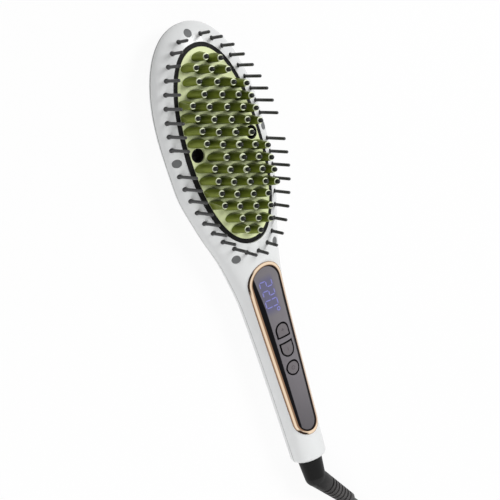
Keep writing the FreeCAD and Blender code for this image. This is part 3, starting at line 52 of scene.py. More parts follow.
# ---------------------------------------------------------------- camera, floor and lamps
CAMERA_PLACE = Vector((-0.50333, 0.28055, 0.85036))
CAMERA_TARGET = Vector((0.00185, -0.00233, 0.0125))
CAMERA_ROLL = math.radians(98.0467)
LENS_PER_SENSOR = 3.44298
SENSOR = 36.0
NEAR, FAR = 0.01, 50.0
WORLD_FILL = 0.30
FLOOR_HALF, FLOOR_DROP = 3.0, 0.0001
FLOOR_COLOR, FLOOR_GLOW_SHARE = (0.86, 0.86, 0.86, 1), 0.93
WHITE_LIGHT = (1, 1, 1, 1)


def link(tree, source, socket):
    tree.links.new(source, socket)


def math_node(tree, operation, first, second=None):
    """A maths node on sockets or numbers; gives its result's socket."""
    node = tree.nodes.new("ShaderNodeMath")
    node.operation = operation
    for index, value in enumerate((first, second)):
        if value is None:
            continue
        if isinstance(value, (int, float)):
            node.inputs[index].default_value = value
        else:
            link(tree, value, node.inputs[index])
    return node.outputs[0]


def add_camera():
    data = bpy.data.cameras.new("camera")
    data.sensor_width = SENSOR
    data.lens = SENSOR * LENS_PER_SENSOR
    data.clip_start, data.clip_end = NEAR, FAR
    camera = bpy.data.objects.new("camera", data)
    SCENE.collection.objects.link(camera)
    look = (CAMERA_TARGET - CAMERA_PLACE).to_track_quat("-Z", "Y")
    camera.rotation_mode = "QUATERNION"
    camera.rotation_quaternion = look @ Quaternion((0, 0, 1), CAMERA_ROLL)
    camera.location = CAMERA_PLACE
    SCENE.camera = camera


def add_lamp(name, place, size, power, target=(0.0, 0.0, 0.0), mirrored=True):
    """A round soft lamp; one that isn't mirrored leaves no glint on gloss."""
    data = bpy.data.lights.new(name, "AREA")
    data.shape = "DISK"
    data.size = size
    data.energy = power
    lamp = bpy.data.objects.new(name, data)
    lamp.location = place
    lamp.visible_glossy = mirrored
    lamp.rotation_mode = "QUATERNION"
    lamp.rotation_quaternion = (Vector(target) - Vector(place)).to_track_quat("-Z", "Y")
    SCENE.collection.objects.link(lamp)


def white_to_the_eye(tree):
    """1 for rays from the camera, and for those that a gloss or clear surface sends on."""
    path = tree.nodes.new("ShaderNodeLightPath")
    seen = math_node(tree, "MAXIMUM", path.outputs["Is Camera Ray"],
                     path.outputs["Is Glossy Ray"])
    return math_node(tree, "MAXIMUM", seen, path.outputs["Is Transmission Ray"])


def add_world():
    """White to the eye, and a dim even fill on the object."""
    world = bpy.data.worlds.new("studio")
    SCENE.world = world
    world.use_nodes = True
    tree = world.node_tree
    tree.nodes.clear()
    output = tree.nodes.new("ShaderNodeOutputWorld")
    mix = tree.nodes.new("ShaderNodeMixShader")
    link(tree, white_to_the_eye(tree), mix.inputs["Fac"])
    for index, strength in ((1, WORLD_FILL), (2, 1.0)):
        light = tree.nodes.new("ShaderNodeBackground")
        light.inputs["Strength"].default_value = strength
        light.inputs["Color"].default_value = WHITE_LIGHT
        link(tree, light.outputs[0], mix.inputs[index])
    link(tree, mix.outputs[0], output.inputs["Surface"])


def add_floor():
    """White floor: it shows as white itself and keeps a light shadow of the brush."""
    corners = [(-FLOOR_HALF, -FLOOR_HALF, 0), (FLOOR_HALF, -FLOOR_HALF, 0),
               (FLOOR_HALF, FLOOR_HALF, 0), (-FLOOR_HALF, FLOOR_HALF, 0)]
    mesh = bpy.data.meshes.new("floor")
    mesh.from_pydata(corners, [], [(0, 1, 2, 3)])
    floor = bpy.data.objects.new("floor", mesh)
    floor.location.z = -FLOOR_DROP
    SCENE.collection.objects.link(floor)
    material = bpy.data.materials.new("floor_white")
    material.use_nodes = True
    tree = material.node_tree
    tree.nodes.clear()
    output = tree.nodes.new("ShaderNodeOutputMaterial")
    mix = tree.nodes.new("ShaderNodeMixShader")
    paint = tree.nodes.new("ShaderNodeBsdfDiffuse")
    paint.inputs["Color"].default_value = FLOOR_COLOR
    glow = tree.nodes.new("ShaderNodeEmission")
    glow.inputs["Strength"].default_value = 1.0
    share = math_node(tree, "MULTIPLY", white_to_the_eye(tree), FLOOR_GLOW_SHARE)
    link(tree, share, mix.inputs["Fac"])
    link(tree, paint.outputs[0], mix.inputs[1])
    link(tree, glow.outputs[0], mix.inputs[2])
    link(tree, mix.outputs[0], output.inputs["Surface"])
    mesh.materials.append(material)


add_camera()
add_world()
add_floor()
add_lamp("key", (0.75, 0.35, 1.15), 0.7, 13.5)
add_lamp("fill", (-0.9, -0.2, 1.0), 1.0, 2.0, mirrored=False)
add_lamp("grip_fill", (-0.36, -0.50, 0.38), 0.5, 1.7, target=(0.0, -0.09, 0.01), mirrored=False)

# ---------------------------------------------------------------- building blocks of materials
# How far the roughness wanders each way and the least it may be, how far the tone's ramp
# reaches, the detail of both noises, and the bump's strength.
ROUGH_SPREAD, LEAST_ROUGH = 0.06, 0.02
RAMP_LOW, RAMP_HIGH = 0.3, 0.7
TONE_DETAIL, GRAIN_DETAIL = 3.0, 2.0
BUMP_STRENGTH = 0.5
# How many rays look for edges and neighbours, and how level a face is that looks up.
MASK_SAMPLES = 8
LEVEL_START, LEVEL_FULL = 0.97, 0.99


def shader_of(material):
    return next(n for n in material.node_tree.nodes if n.type == "BSDF_PRINCIPLED")


def new_material(name, color, roughness, metallic=0.0, coat=0.0, coat_roughness=0.05, sheen=0.0,
                 specular=0.5, grain=900.0, grain_depth=0.0, tone=0.04, tone_scale=30.0):
    """Principled surface with gentle procedural changes of tone, gloss and relief."""
    material = bpy.data.materials.new(name)
    material.use_nodes = True
    tree = material.node_tree
    shader = shader_of(material)
    shader.inputs["Metallic"].default_value = metallic
    shader.inputs["Coat Weight"].default_value = coat
    shader.inputs["Coat Roughness"].default_value = coat_roughness
    shader.inputs["Sheen Weight"].default_value = sheen
    shader.inputs["Specular IOR Level"].default_value = specular
    place = tree.nodes.new("ShaderNodeTexCoord")
    noise = tree.nodes.new("ShaderNodeTexNoise")
    noise.inputs["Scale"].default_value = tone_scale
    noise.inputs["Detail"].default_value = TONE_DETAIL
    link(tree, place.outputs["Object"], noise.inputs["Vector"])
    ramp = tree.nodes.new("ShaderNodeValToRGB")
    darker, lighter = ramp.color_ramp.elements[0], ramp.color_ramp.elements[1]
    darker.position, lighter.position = RAMP_LOW, RAMP_HIGH
    darker.color = (*[c * (1 - tone) for c in color], 1)
    lighter.color = (*[min(c * (1 + tone), 1.0) for c in color], 1)
    link(tree, noise.outputs["Fac"], ramp.inputs["Fac"])
    link(tree, ramp.outputs["Color"], shader.inputs["Base Color"])
    spread = tree.nodes.new("ShaderNodeMapRange")
    spread.inputs["To Min"].default_value = max(roughness - ROUGH_SPREAD, LEAST_ROUGH)
    spread.inputs["To Max"].default_value = min(roughness + ROUGH_SPREAD, 1.0)
    link(tree, noise.outputs["Fac"], spread.inputs["Value"])
    link(tree, spread.outputs["Result"], shader.inputs["Roughness"])
    if grain_depth > 0:
        fine = tree.nodes.new("ShaderNodeTexNoise")
        fine.inputs["Scale"].default_value = grain
        fine.inputs["Detail"].default_value = GRAIN_DETAIL
        link(tree, place.outputs["Object"], fine.inputs["Vector"])
        bump = tree.nodes.new("ShaderNodeBump")
        bump.inputs["Strength"].default_value = BUMP_STRENGTH
        bump.inputs["Distance"].default_value = grain_depth
        link(tree, fine.outputs["Fac"], bump.inputs["Height"])
        link(tree, bump.outputs["Normal"], shader.inputs["Normal"])
    return material


def spread_node(tree, value, low, high, to_low, to_high):
    """The value taken from one range to another, held at both ends."""
    node = tree.nodes.new("ShaderNodeMapRange")
    for socket, number in (("From Min", low), ("From Max", high), ("To Min", to_low),
                           ("To Max", to_high)):
        node.inputs[socket].default_value = number
    link(tree, value, node.inputs["Value"])
    return node.outputs["Result"]


def mixed_over(material, mask, color):
    """Lay a second colour over a material's own where the mask is 1."""
    tree = material.node_tree
    shader = shader_of(material)
    own = shader.inputs["Base Color"].links[0].from_socket
    mix = tree.nodes.new("ShaderNodeMix")
    mix.data_type = "RGBA"
    link(tree, mask, mix.inputs["Factor"])
    link(tree, own, mix.inputs["A"])
    mix.inputs["B"].default_value = (*color, 1)
    link(tree, mix.outputs["Result"], shader.inputs["Base Color"])


def object_axes(tree):
    """The X, Y and Z of a point of the surface."""
    place = tree.nodes.new("ShaderNodeTexCoord")
    axes = tree.nodes.new("ShaderNodeSeparateXYZ")
    link(tree, place.outputs["Object"], axes.inputs[0])
    return axes.outputs


def root_of_squares(tree, first, second):
    squares = math_node(tree, "ADD", math_node(tree, "MULTIPLY", first, first),
                        math_node(tree, "MULTIPLY", second, second))
    return math_node(tree, "SQRT", squares)


def edge_highlight_mask(tree, radius, low, high):
    """1 along sharp edges, for a painted highlight: where the rounded normal parts from the face's
    own.
    """
    bevel = tree.nodes.new("ShaderNodeBevel")
    bevel.samples = MASK_SAMPLES
    bevel.inputs["Radius"].default_value = radius
    face = tree.nodes.new("ShaderNodeNewGeometry")
    product = tree.nodes.new("ShaderNodeVectorMath")
    product.operation = "DOT_PRODUCT"
    link(tree, bevel.outputs["Normal"], product.inputs[0])
    link(tree, face.outputs["Normal"], product.inputs[1])
    return spread_node(tree, product.outputs["Value"], low, high, 1.0, 0.0)


def level_top_highlight_mask(tree):
    """1 on level faces that look up, for a painted highlight."""
    place = tree.nodes.new("ShaderNodeTexCoord")
    axes = tree.nodes.new("ShaderNodeSeparateXYZ")
    link(tree, place.outputs["Normal"], axes.inputs[0])
    return spread_node(tree, axes.outputs[2], LEVEL_START, LEVEL_FULL, 0.0, 1.0)


def painted_hollow_shade(tree, reach, low, high):
    """Painted shade: 0 on surface with open room round it, 1 where neighbours close it in."""
    node = tree.nodes.new("ShaderNodeAmbientOcclusion")
    node.samples = MASK_SAMPLES
    node.inputs["Distance"].default_value = reach
    return spread_node(tree, node.outputs["AO"], low, high, 1.0, 0.0)


# ---------------------------------------------------------------- housing
GAP_HALF, HEAD_GAP_HALF, GAP_FADE = 0.00017, 0.00026, 1.3
HEAD_GAP_START, HEAD_GAP_FULL = 0.03, 0.11


def parting_gap(tree, half):
    """1 within half of the parting's height, fading out just past it."""
    height = object_axes(tree)[2]
    past = math_node(tree, "ABSOLUTE", math_node(tree, "SUBTRACT", height, PARTING_Z))
    return spread_node(tree, past, half, GAP_FADE * half, 1.0, 0.0)


def head_gap(tree):
    """1 in the parting gap near the head's tip, fading in from the head's middle."""
    along = spread_node(tree, object_axes(tree)[1], HEAD_GAP_START, HEAD_GAP_FULL, 0.0, 1.0)
    return math_node(tree, "MULTIPLY", parting_gap(tree, HEAD_GAP_HALF), along)


# The parting gap shows as a thin grey line, darker round the head.
WHITE = new_material("white_housing", (0.76, 0.77, 0.77), 0.30, coat=0.25, coat_roughness=0.12,
                     tone=0.01, grain=2500, grain_depth=0.00001)
mixed_over(WHITE, parting_gap(WHITE.node_tree, GAP_HALF), (0.36, 0.38, 0.37))
mixed_over(WHITE, head_gap(WHITE.node_tree), (0.15, 0.16, 0.16))
GREY_PLUG = new_material("grey_plug", (0.118, 0.122, 0.124), 0.5, grain=1500, grain_depth=0.00002)
SEAL = new_material("black_seal", (0.004, 0.004, 0.004), 0.55, specular=0.12, grain=1800,
                    grain_depth=0.00001)

# ---------------------------------------------------------------- plate, teeth and pins
# Plate and teeth are one green casting: painted light gives the plate a pale lit copy of the
# green and the teeth a dark shaded copy.  Painted shade darkens them where their neighbours close
# them in, and painted highlights make the teeth pale on their level tops and along their edges.
LIT_PLATE_GREEN = new_material("green_plate", (0.72, 0.78, 0.45), 0.46, metallic=0.05, coat=0.05,
                     coat_roughness=0.25, specular=0.25, tone=0.05, tone_scale=60)
# Painted shade: the plate darkens where the teeth close it in.
mixed_over(LIT_PLATE_GREEN, painted_hollow_shade(LIT_PLATE_GREEN.node_tree, reach=0.005, low=0.24, high=0.55), (0.16, 0.21, 0.05))
# Painted shade: the teeth's dark green is a shaded copy of the plate's green.
SHADED_TEETH_GREEN = new_material("green_teeth_painted_shade", (0.20, 0.245, 0.035), 0.34, metallic=0.25, coat=0.05,
                     coat_roughness=0.2, tone=0.16, tone_scale=160, specular=0.2)
# Painted shade: the teeth darken at their feet, where neighbours close them in.
mixed_over(SHADED_TEETH_GREEN, painted_hollow_shade(SHADED_TEETH_GREEN.node_tree, reach=0.010, low=0.18, high=0.48),
           (0.022, 0.032, 0.003))
# Painted highlight: pale on the teeth's level tops and along their edges.
mixed_over(SHADED_TEETH_GREEN, math_node(SHADED_TEETH_GREEN.node_tree, "MAXIMUM", level_top_highlight_mask(SHADED_TEETH_GREEN.node_tree),
                            edge_highlight_mask(SHADED_TEETH_GREEN.node_tree, radius=0.0006, low=0.80, high=0.97)),
           (0.76, 0.81, 0.58))
NYLON = new_material("black_nylon", (0.015, 0.017, 0.014), 0.16, specular=0.18, tone=0.1)
PIN = new_material("dark_pin", (0.045, 0.045, 0.046), 0.42, tone=0.2, tone_scale=300,
                   specular=0.3)
BUSH = new_material("black_bush", (0.004, 0.004, 0.004), 0.5, tone=0.1, specular=0.15)

# ---------------------------------------------------------------- inner pieces
STEEL = new_material("needle_steel", (0.65, 0.65, 0.66), 0.25, metallic=1.0)
PLUNGER = new_material("plunger", (0.06, 0.06, 0.065), 0.5)
CERAMIC = new_material("heater_ceramic", (0.72, 0.70, 0.64), 0.6, grain=1200, grain_depth=0.00003)
MICA = new_material("mica", (0.45, 0.34, 0.18), 0.35, tone=0.2, tone_scale=120)
SPRING = new_material("spring_steel", (0.45, 0.46, 0.47), 0.35, metallic=1.0)
POTTING = new_material("module_potting", (0.02, 0.025, 0.05), 0.3, tone=0.15)
LAMINATE = new_material("board_laminate", (0.015, 0.13, 0.05), 0.3, coat=0.4, tone=0.15,
                        tone_scale=300)
SWITCH = new_material("switch_body", (0.03, 0.03, 0.03), 0.5)
SLEEVING = new_material("component_sleeve", (0.02, 0.03, 0.10), 0.3, coat=0.3)
SILICONE = new_material("lead_silicone", (0.58, 0.54, 0.48), 0.55, sheen=0.2)
BRASS = new_material("contact_brass", (0.72, 0.50, 0.18), 0.22, metallic=1.0)

# ---------------------------------------------------------------- swivel, sleeve, cord and plug
# Where the painted light on the sleeve starts and where it is full, by distance from the elbow.
SLEEVE_LIT_START, SLEEVE_LIT_FULL = 0.007, 0.021


def painted_light_from_elbow(tree):
    """Painted light on the sleeve: 0 at the swivel's elbow, rising to 1 along the sleeve."""
    place = tree.nodes.new("ShaderNodeTexCoord")
    far = tree.nodes.new("ShaderNodeVectorMath")
    far.operation = "DISTANCE"
    link(tree, place.outputs["Object"], far.inputs[0])
    far.inputs[1].default_value = ELBOW
    return spread_node(tree, far.outputs["Value"], SLEEVE_LIT_START, SLEEVE_LIT_FULL, 0.0, 1.0)


SWIVEL = new_material("black_swivel", (0.006, 0.006, 0.006), 0.45, specular=0.14, grain=1600,
                      grain_depth=0.00002)
CORD = new_material("black_cord", (0.030, 0.030, 0.030), 0.5, sheen=0.2, grain=1300,
                    grain_depth=0.00003)
SLEEVE = new_material("black_sleeve", (0.012, 0.012, 0.012), 0.5, specular=0.2, grain=1300,
                      grain_depth=0.00003)
# Painted light: the moulded sleeve turns a lighter grey away from the elbow.
mixed_over(SLEEVE, painted_light_from_elbow(SLEEVE.node_tree), (0.072, 0.069, 0.069))
PRONG = new_material("prong_metal", (0.78, 0.77, 0.73), 0.2, metallic=1.0)

# ---------------------------------------------------------------- display panel
PANEL_TOP_Y, PANEL_TOP_RADIUS = -0.02105, 0.0124
PANEL_BOTTOM_Y, PANEL_BOTTOM_RADIUS = -0.11195, 0.0090
TRIM_WIDTH = 0.0022
KEY_HALF, KEY_LENGTH, KEY_GAP = 0.0040, 0.0080, 0.0006
KEY_PLACES = {"up": -0.0519, "down": -0.0644, "power": -0.07665}
KEY_WAYS = {"up": 1, "down": -1}
# Black of the lens's border and key lines, and of the painted dark reflection on its -X side.
INK_AND_REFLECTION_BLACK = (0.003, 0.003, 0.004)

# The lens's black border: its width along the panel and at the top, and what the +X side adds.
BORDER, TOP_BORDER, SIDE_BORDER = 0.0010, 0.0004, 0.0009
BORDER_LOW_Y, BORDER_HIGH_Y, SIDE_BORDER_X = -0.034, -0.018, 0.007
# The black band on the lens's -X side, a painted dark reflection: where its inner edge runs at
# three places along it.
BAND_TOP_Y, BAND_TOP_X = -0.016, -0.0084
BAND_BEND_Y, BAND_BEND_X = -0.036, -0.0064
BAND_FOOT_Y, BAND_FOOT_SHIFT = -0.120, 0.0014
SOFT = 0.0002
# The black line round each key: how far it reaches past the gap on the -X and the +X side.
LINE_PAST_LEFT, LINE_PAST_RIGHT, LINE_FADE = 0.00010, 0.00035, 0.00012
KEY_RIM_START, KEY_RIM_FULL = -0.00028, -0.00016
# The lit display's middle and its reach each way, full and faded out.
GLOW_X, GLOW_Y = -0.0018, -0.0285
GLOW_ACROSS, GLOW_ALONG = (0.0035, 0.0060), (0.0090, 0.0130)
# Where the lens darkens towards its lower end, and how far.
DUSK_START_Y, DUSK_FULL_Y, DUSK_SHARE = -0.078, -0.122, 0.55
# The trim's painted dark reflections along its edges, by depth inside its outline: where the
# outer one fades out, and where the inner one starts, which is further in at the top and at the
# bottom.
OUTER_EDGE = (0.0001, 0.0004)
INNER_START, INNER_TOP_START, INNER_FOOT_SHIFT, INNER_FADE = 0.00115, 0.0016, 0.0008, 0.0004
TRIM_TOP, TRIM_FOOT = (-0.030, -0.016), (-0.1165, -0.1190)
# The painted dark reflections on the trim, a fine streak at the top and a broad one at the bottom.
# Each has a window by depth, along and across the panel: from one place to another, with its
# share at both.
DARK_REFLECTION_WINDOWS = (
    ((0.0006, 0.0009, 1.0, 0.0), (-0.026, -0.022, 0.0, 1.0), (-0.0085, -0.0065, 1.0, 0.0)),
    ((0.0011, 0.0014, 1.0, 0.0), (-0.1165, -0.1150, 1.0, 0.0), (-0.0036, -0.0020, 1.0, 0.0)),
)


def panel_depth(tree):
    """How far a point lies inside the panel's outline: two round ends and straight flanks."""
    x, y, _ = object_axes(tree)
    share = spread_node(tree, y, PANEL_BOTTOM_Y, PANEL_TOP_Y, 0.0, 1.0)
    middle = spread_node(tree, share, 0.0, 1.0, PANEL_BOTTOM_Y, PANEL_TOP_Y)
    radius = spread_node(tree, share, 0.0, 1.0, PANEL_BOTTOM_RADIUS, PANEL_TOP_RADIUS)
    along = math_node(tree, "SUBTRACT", y, middle)
    return math_node(tree, "SUBTRACT", radius, root_of_squares(tree, along, x))


def past_key(tree, kind):
    """How far a point lies outside a key's outline: a round key, or a dome with a flat foot."""
    x, y, _ = object_axes(tree)
    if kind == "power":
        up = math_node(tree, "SUBTRACT", y, KEY_PLACES[kind])
        return math_node(tree, "SUBTRACT", root_of_squares(tree, x, up), KEY_HALF)
    way = KEY_WAYS[kind]
    spring_y = KEY_PLACES[kind] + way * (KEY_LENGTH / 2 - KEY_HALF)
    up = math_node(tree, "MULTIPLY", math_node(tree, "SUBTRACT", y, spring_y), way)
    dome_up = math_node(tree, "MAXIMUM", up, 0.0)
    past = math_node(tree, "SUBTRACT", root_of_squares(tree, x, dome_up), KEY_HALF)
    below = math_node(tree, "SUBTRACT", math_node(tree, "MULTIPLY", up, -1.0),
                      KEY_LENGTH - KEY_HALF)
    return math_node(tree, "MAXIMUM", past, below)


def lens_black(tree):
    """1 on the lens's black parts: its border, which is finest at the top and broader on the +X
    side, the wide band along its -X side, which is a painted dark reflection, and the lines round
    the keys."""
    x, y, _ = object_axes(tree)
    depth = math_node(tree, "SUBTRACT", panel_depth(tree), TRIM_WIDTH)
    border = math_node(tree, "ADD",
                       spread_node(tree, y, BORDER_LOW_Y, BORDER_HIGH_Y, BORDER, TOP_BORDER),
                       spread_node(tree, x, 0.0, SIDE_BORDER_X, 0.0, SIDE_BORDER))
    rim = spread_node(tree, math_node(tree, "SUBTRACT", depth, border), -SOFT, SOFT, 1.0, 0.0)
    upper = spread_node(tree, y, BAND_BEND_Y, BAND_TOP_Y, BAND_BEND_X, BAND_TOP_X)
    lower = spread_node(tree, y, BAND_FOOT_Y, BAND_BEND_Y, BAND_FOOT_SHIFT, 0.0)
    past = math_node(tree, "SUBTRACT", x, math_node(tree, "ADD", upper, lower))
    black = math_node(tree, "MAXIMUM", rim, spread_node(tree, past, -SOFT, SOFT, 1.0, 0.0))
    bold = spread_node(tree, x, -KEY_HALF, KEY_HALF, KEY_GAP + LINE_PAST_LEFT,
                       KEY_GAP + LINE_PAST_RIGHT)
    for kind in KEY_PLACES:
        past = math_node(tree, "SUBTRACT", past_key(tree, kind), bold)
        line = spread_node(tree, past, 0.0, LINE_FADE, 1.0, 0.0)
        black = math_node(tree, "MAXIMUM", black, line)
    return black


def display_glow(tree):
    """1 over the lit digits, fading out round them."""
    x, y, _ = object_axes(tree)
    across = math_node(tree, "ABSOLUTE", math_node(tree, "SUBTRACT", x, GLOW_X))
    along = math_node(tree, "ABSOLUTE", math_node(tree, "SUBTRACT", y, GLOW_Y))
    return math_node(tree, "MULTIPLY", spread_node(tree, across, *GLOW_ACROSS, 1.0, 0.0),
                     spread_node(tree, along, *GLOW_ALONG, 1.0, 0.0))


def lens_dusk(tree):
    """0 down to the round key, rising towards the lens's lower end."""
    return spread_node(tree, object_axes(tree)[1], DUSK_START_Y, DUSK_FULL_Y, 0.0, DUSK_SHARE)


def trim_edge_reflection(tree):
    """1 where dark reflections are painted along the trim's edges: a fine line outside and a broad
    one by the lens, which is narrower round the top and the bottom."""
    depth = panel_depth(tree)
    y = object_axes(tree)[1]
    outside = spread_node(tree, depth, *OUTER_EDGE, 1.0, 0.0)
    start = math_node(tree, "ADD",
                      spread_node(tree, y, *TRIM_TOP, INNER_START, INNER_TOP_START),
                      spread_node(tree, y, *TRIM_FOOT, 0.0, INNER_FOOT_SHIFT))
    past = math_node(tree, "SUBTRACT", depth, start)
    inside = spread_node(tree, past, 0.0, INNER_FADE, 0.0, 1.0)
    return math_node(tree, "MAXIMUM", outside, inside)


def dark_reflection_streaks(tree):
    """1 in the two painted dark reflections along the trim's outer edge, on the -X side of its
    ends.
    """
    x, y, _ = object_axes(tree)
    depth = panel_depth(tree)
    streaks = []
    for inward, along, across in DARK_REFLECTION_WINDOWS:
        place = math_node(tree, "MULTIPLY", spread_node(tree, y, *along),
                          spread_node(tree, x, *across))
        streaks.append(math_node(tree, "MULTIPLY", spread_node(tree, depth, *inward), place))
    return math_node(tree, "MAXIMUM", *streaks)


def key_rim(tree, kind):
    """1 on the outer edge of a key's face."""
    return spread_node(tree, past_key(tree, kind), KEY_RIM_START, KEY_RIM_FULL, 0.0, 1.0)


def add_light(material, color, strength):
    shader_of(material).inputs["Emission Color"].default_value = (*color, 1)
    shader_of(material).inputs["Emission Strength"].default_value = strength


ROSE = new_material("rose_gold", (0.86, 0.68, 0.50), 0.20, metallic=1.0, tone=0.03, grain=1200,
                    grain_depth=0.000004)
# Painted reflection: dark bands along the trim's edges.
mixed_over(ROSE, trim_edge_reflection(ROSE.node_tree), (0.30, 0.175, 0.105))
# Painted reflection: two dark streaks near the trim's ends.
mixed_over(ROSE, dark_reflection_streaks(ROSE.node_tree), (0.045, 0.028, 0.020))
LENS = new_material("smoked_lens", (0.190, 0.178, 0.192), 0.10, specular=0.08, tone=0.06,
                    tone_scale=25)
mixed_over(LENS, display_glow(LENS.node_tree), (0.140, 0.136, 0.205))
mixed_over(LENS, lens_dusk(LENS.node_tree), (0.045, 0.042, 0.045))
# Painted reflection: the black band along the lens's -X side stands for a dark reflection.
mixed_over(LENS, lens_black(LENS.node_tree), INK_AND_REFLECTION_BLACK)
KEYS = {}
for key_kind in KEY_PLACES:
    key_face = new_material("key_face_" + key_kind, (0.165, 0.152, 0.160), 0.30, specular=0.10)
    mixed_over(key_face, key_rim(key_face.node_tree, key_kind), INK_AND_REFLECTION_BLACK)
    KEYS[key_kind] = key_face
DIGIT = new_material("lit_digit", (0.19, 0.19, 0.46), 0.4, specular=0.1)
add_light(DIGIT, (0.17, 0.17, 0.42), 0.30)
SYMBOL = new_material("key_symbol", (0.082, 0.072, 0.078), 0.4, specular=0.1)

# ---------------------------------------------------------------- materials on the CAD nodes
NODE_MATERIALS = {
    WHITE: ("front_shell", "back_shell"),
    GREY_PLUG: ("screw_plugs",),
    SEAL: ("plate_bezel",),
    LIT_PLATE_GREEN: ("heater_plate",),
    SHADED_TEETH_GREEN: ("heater_teeth",),
    NYLON: ("tooth_tips",),
    PIN: ("outer_pins",),
    BUSH: ("ion_outlets",),
    STEEL: ("ion_needles", "housing_screws", "clamp_screws", "board_screws", "thermal_fuse"),
    ROSE: ("panel_trim",),
    LENS: ("panel_lens",),
    KEYS["up"]: ("key_up",),
    KEYS["down"]: ("key_down",),
    KEYS["power"]: ("key_power",),
    PLUNGER: ("stem_up", "stem_down", "stem_power"),
    CERAMIC: ("heating_element", "thermistor"),
    MICA: ("mica_sheet", "heat_shield"),
    SPRING: ("heater_clamp",),
    POTTING: ("ion_module", "display_module"),
    LAMINATE: ("control_board",),
    SWITCH: ("key_switches",),
    SLEEVING: ("board_parts",),
    SILICONE: ("heater_leads", "mains_leads"),
    BRASS: ("swivel_rings", "swivel_contacts"),
    SWIVEL: ("swivel_hub", "swivel_holder", "plug_body"),
    SLEEVE: ("cord_sleeve",),
    CORD: ("cord_tie", "cord_lead", "cord_coil", "cord_tail"),
    PRONG: ("plug_prongs",),
}


def dress_nodes():
    for material, names in NODE_MATERIALS.items():
        for name in names:
            data = NODES[name].data
            if not data.materials:
                data.materials.append(material)
            for slot in NODES[name].material_slots:
                slot.material = material


dress_nodes()

# ---------------------------------------------------------------- digits and key symbols
# Strokes are thin films: half their thickness, their width, how far a digit's stroke stays
# short of its corner, as a share of its width, and how wide its drawn-in end is.
FILM = 0.00004
STROKE = 0.00066
STROKE_INSET, BLUNT_SHARE = 0.45, 0.35
STROKE_PARTS = 7
# Seven strokes of a digit in its own frame, one unit wide and two high: start and end.
STROKES = {
    "top": ((0, 2), (1, 2)), "middle": ((0, 1), (1, 1)), "bottom": ((0, 0), (1, 0)),
    "upper_left": ((0, 1), (0, 2)), "upper_right": ((1, 1), (1, 2)),
    "lower_left": ((0, 0), (0, 1)), "lower_right": ((1, 0), (1, 1)),
}
DIGIT_STROKES = {
    "2": ("top", "upper_right", "middle", "lower_left", "bottom"),
    "0": ("top", "upper_left", "upper_right", "lower_left", "lower_right", "bottom"),
}
# Each digit's foot and top across the panel, and its left and right side along it.
DIGITS = [("2", -0.0060, 0.0022, -0.0196, -0.0233), ("2", -0.0055, 0.0023, -0.0256, -0.0289),
          ("0", -0.0056, 0.0024, -0.0315, -0.0360)]
DEGREE_PLACE, DEGREE_RADIUS, DEGREE_STROKE = (0.0017, -0.0386), 0.0010, 0.8 * STROKE
SIGN_REACH, SIGN_WIDTH = 0.0011, 0.00035
# The plus's and the minus's bars: each one's half length across and along the panel.
SIGN_BARS = {"up": ((1, 0), (0, 1)), "down": ((0, 1),), "power": ()}
POWER_ARC = (35.0, 325.0)
POWER_BAR = (0.2, 1.3)
RING_PARTS = 20
# The height from which a ray looks down for a front face.
RAY_START_Z = 0.1


def skin_of(name):
    """Gives the height of a node's front face over a place."""
    mesh = NODES[name].data
    tree = BVHTree.FromPolygons([v.co.copy() for v in mesh.vertices],
                                [tuple(p.vertices) for p in mesh.polygons])

    def height(x, y):
        hit = tree.ray_cast(Vector((x, y, RAY_START_Z)), Vector((0, 0, -1)))
        return hit[0].z
    return height


def ribbon_rows(mesh, skin, places, width, closed):
    """The ribbon's corners at each place: low and high on its one side, then on the other."""
    rows = []
    count = len(places)
    for index, place in enumerate(places):
        before = places[index - 1] if index or closed else place
        after = places[(index + 1) % count] if index < count - 1 or closed else place
        way = (Vector(after) - Vector(before)).normalized()
        side = Vector((-way.y, way.x))
        half = width / 2
        if not closed and index in (0, count - 1):
            half *= BLUNT_SHARE
        row = []
        for share in (-1, 1):
            spot = Vector(place) + side * half * share
            ground = skin(spot.x, spot.y)
            row += [mesh.verts.new((*spot, ground - FILM)), mesh.verts.new((*spot, ground + FILM))]
        rows.append(row)
    return rows


def ribbon(mesh, skin, places, width, closed=False):
    """A flat band along a line on a face, with thin walls, its ends drawn to a blunt point."""
    rows = ribbon_rows(mesh, skin, places, width, closed)
    following = rows[1:] + rows[:1] if closed else rows[1:]
    for (a0, a1, b0, b1), (c0, c1, d0, d1) in zip(rows, following):
        mesh.faces.new((a1, b1, d1, c1))
        mesh.faces.new((a0, c0, d0, b0))
        mesh.faces.new((a0, a1, c1, c0))
        mesh.faces.new((b0, d0, d1, b1))
    if not closed:
        for row in (rows[0], rows[-1]):
            mesh.faces.new((row[0], row[2], row[3], row[1]))


def line_points(start, end, count=STROKE_PARTS):
    start, end = Vector(start), Vector(end)
    return [tuple(start.lerp(end, index / (count - 1))) for index in range(count)]


def ring_points(place, radius, first=0.0, last=360.0, count=RING_PARTS):
    """Places on an arc, from one angle to the other, measured from +X."""
    whole = abs(last - first) >= 360.0
    steps = count if whole else count - 1
    return [(place[0] + radius * math.cos(math.radians(first + (last - first) * i / steps)),
             place[1] + radius * math.sin(math.radians(first + (last - first) * i / steps)))
            for i in range(count)]


def finish_piece(name, mesh, material, body):
    bmesh.ops.recalc_face_normals(mesh, faces=mesh.faces)
    data = bpy.data.meshes.new(name)
    mesh.to_mesh(data)
    mesh.free()
    data.materials.append(material)
    piece = bpy.data.objects.new(name, data)
    SCENE.collection.objects.link(piece)
    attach(piece, body)


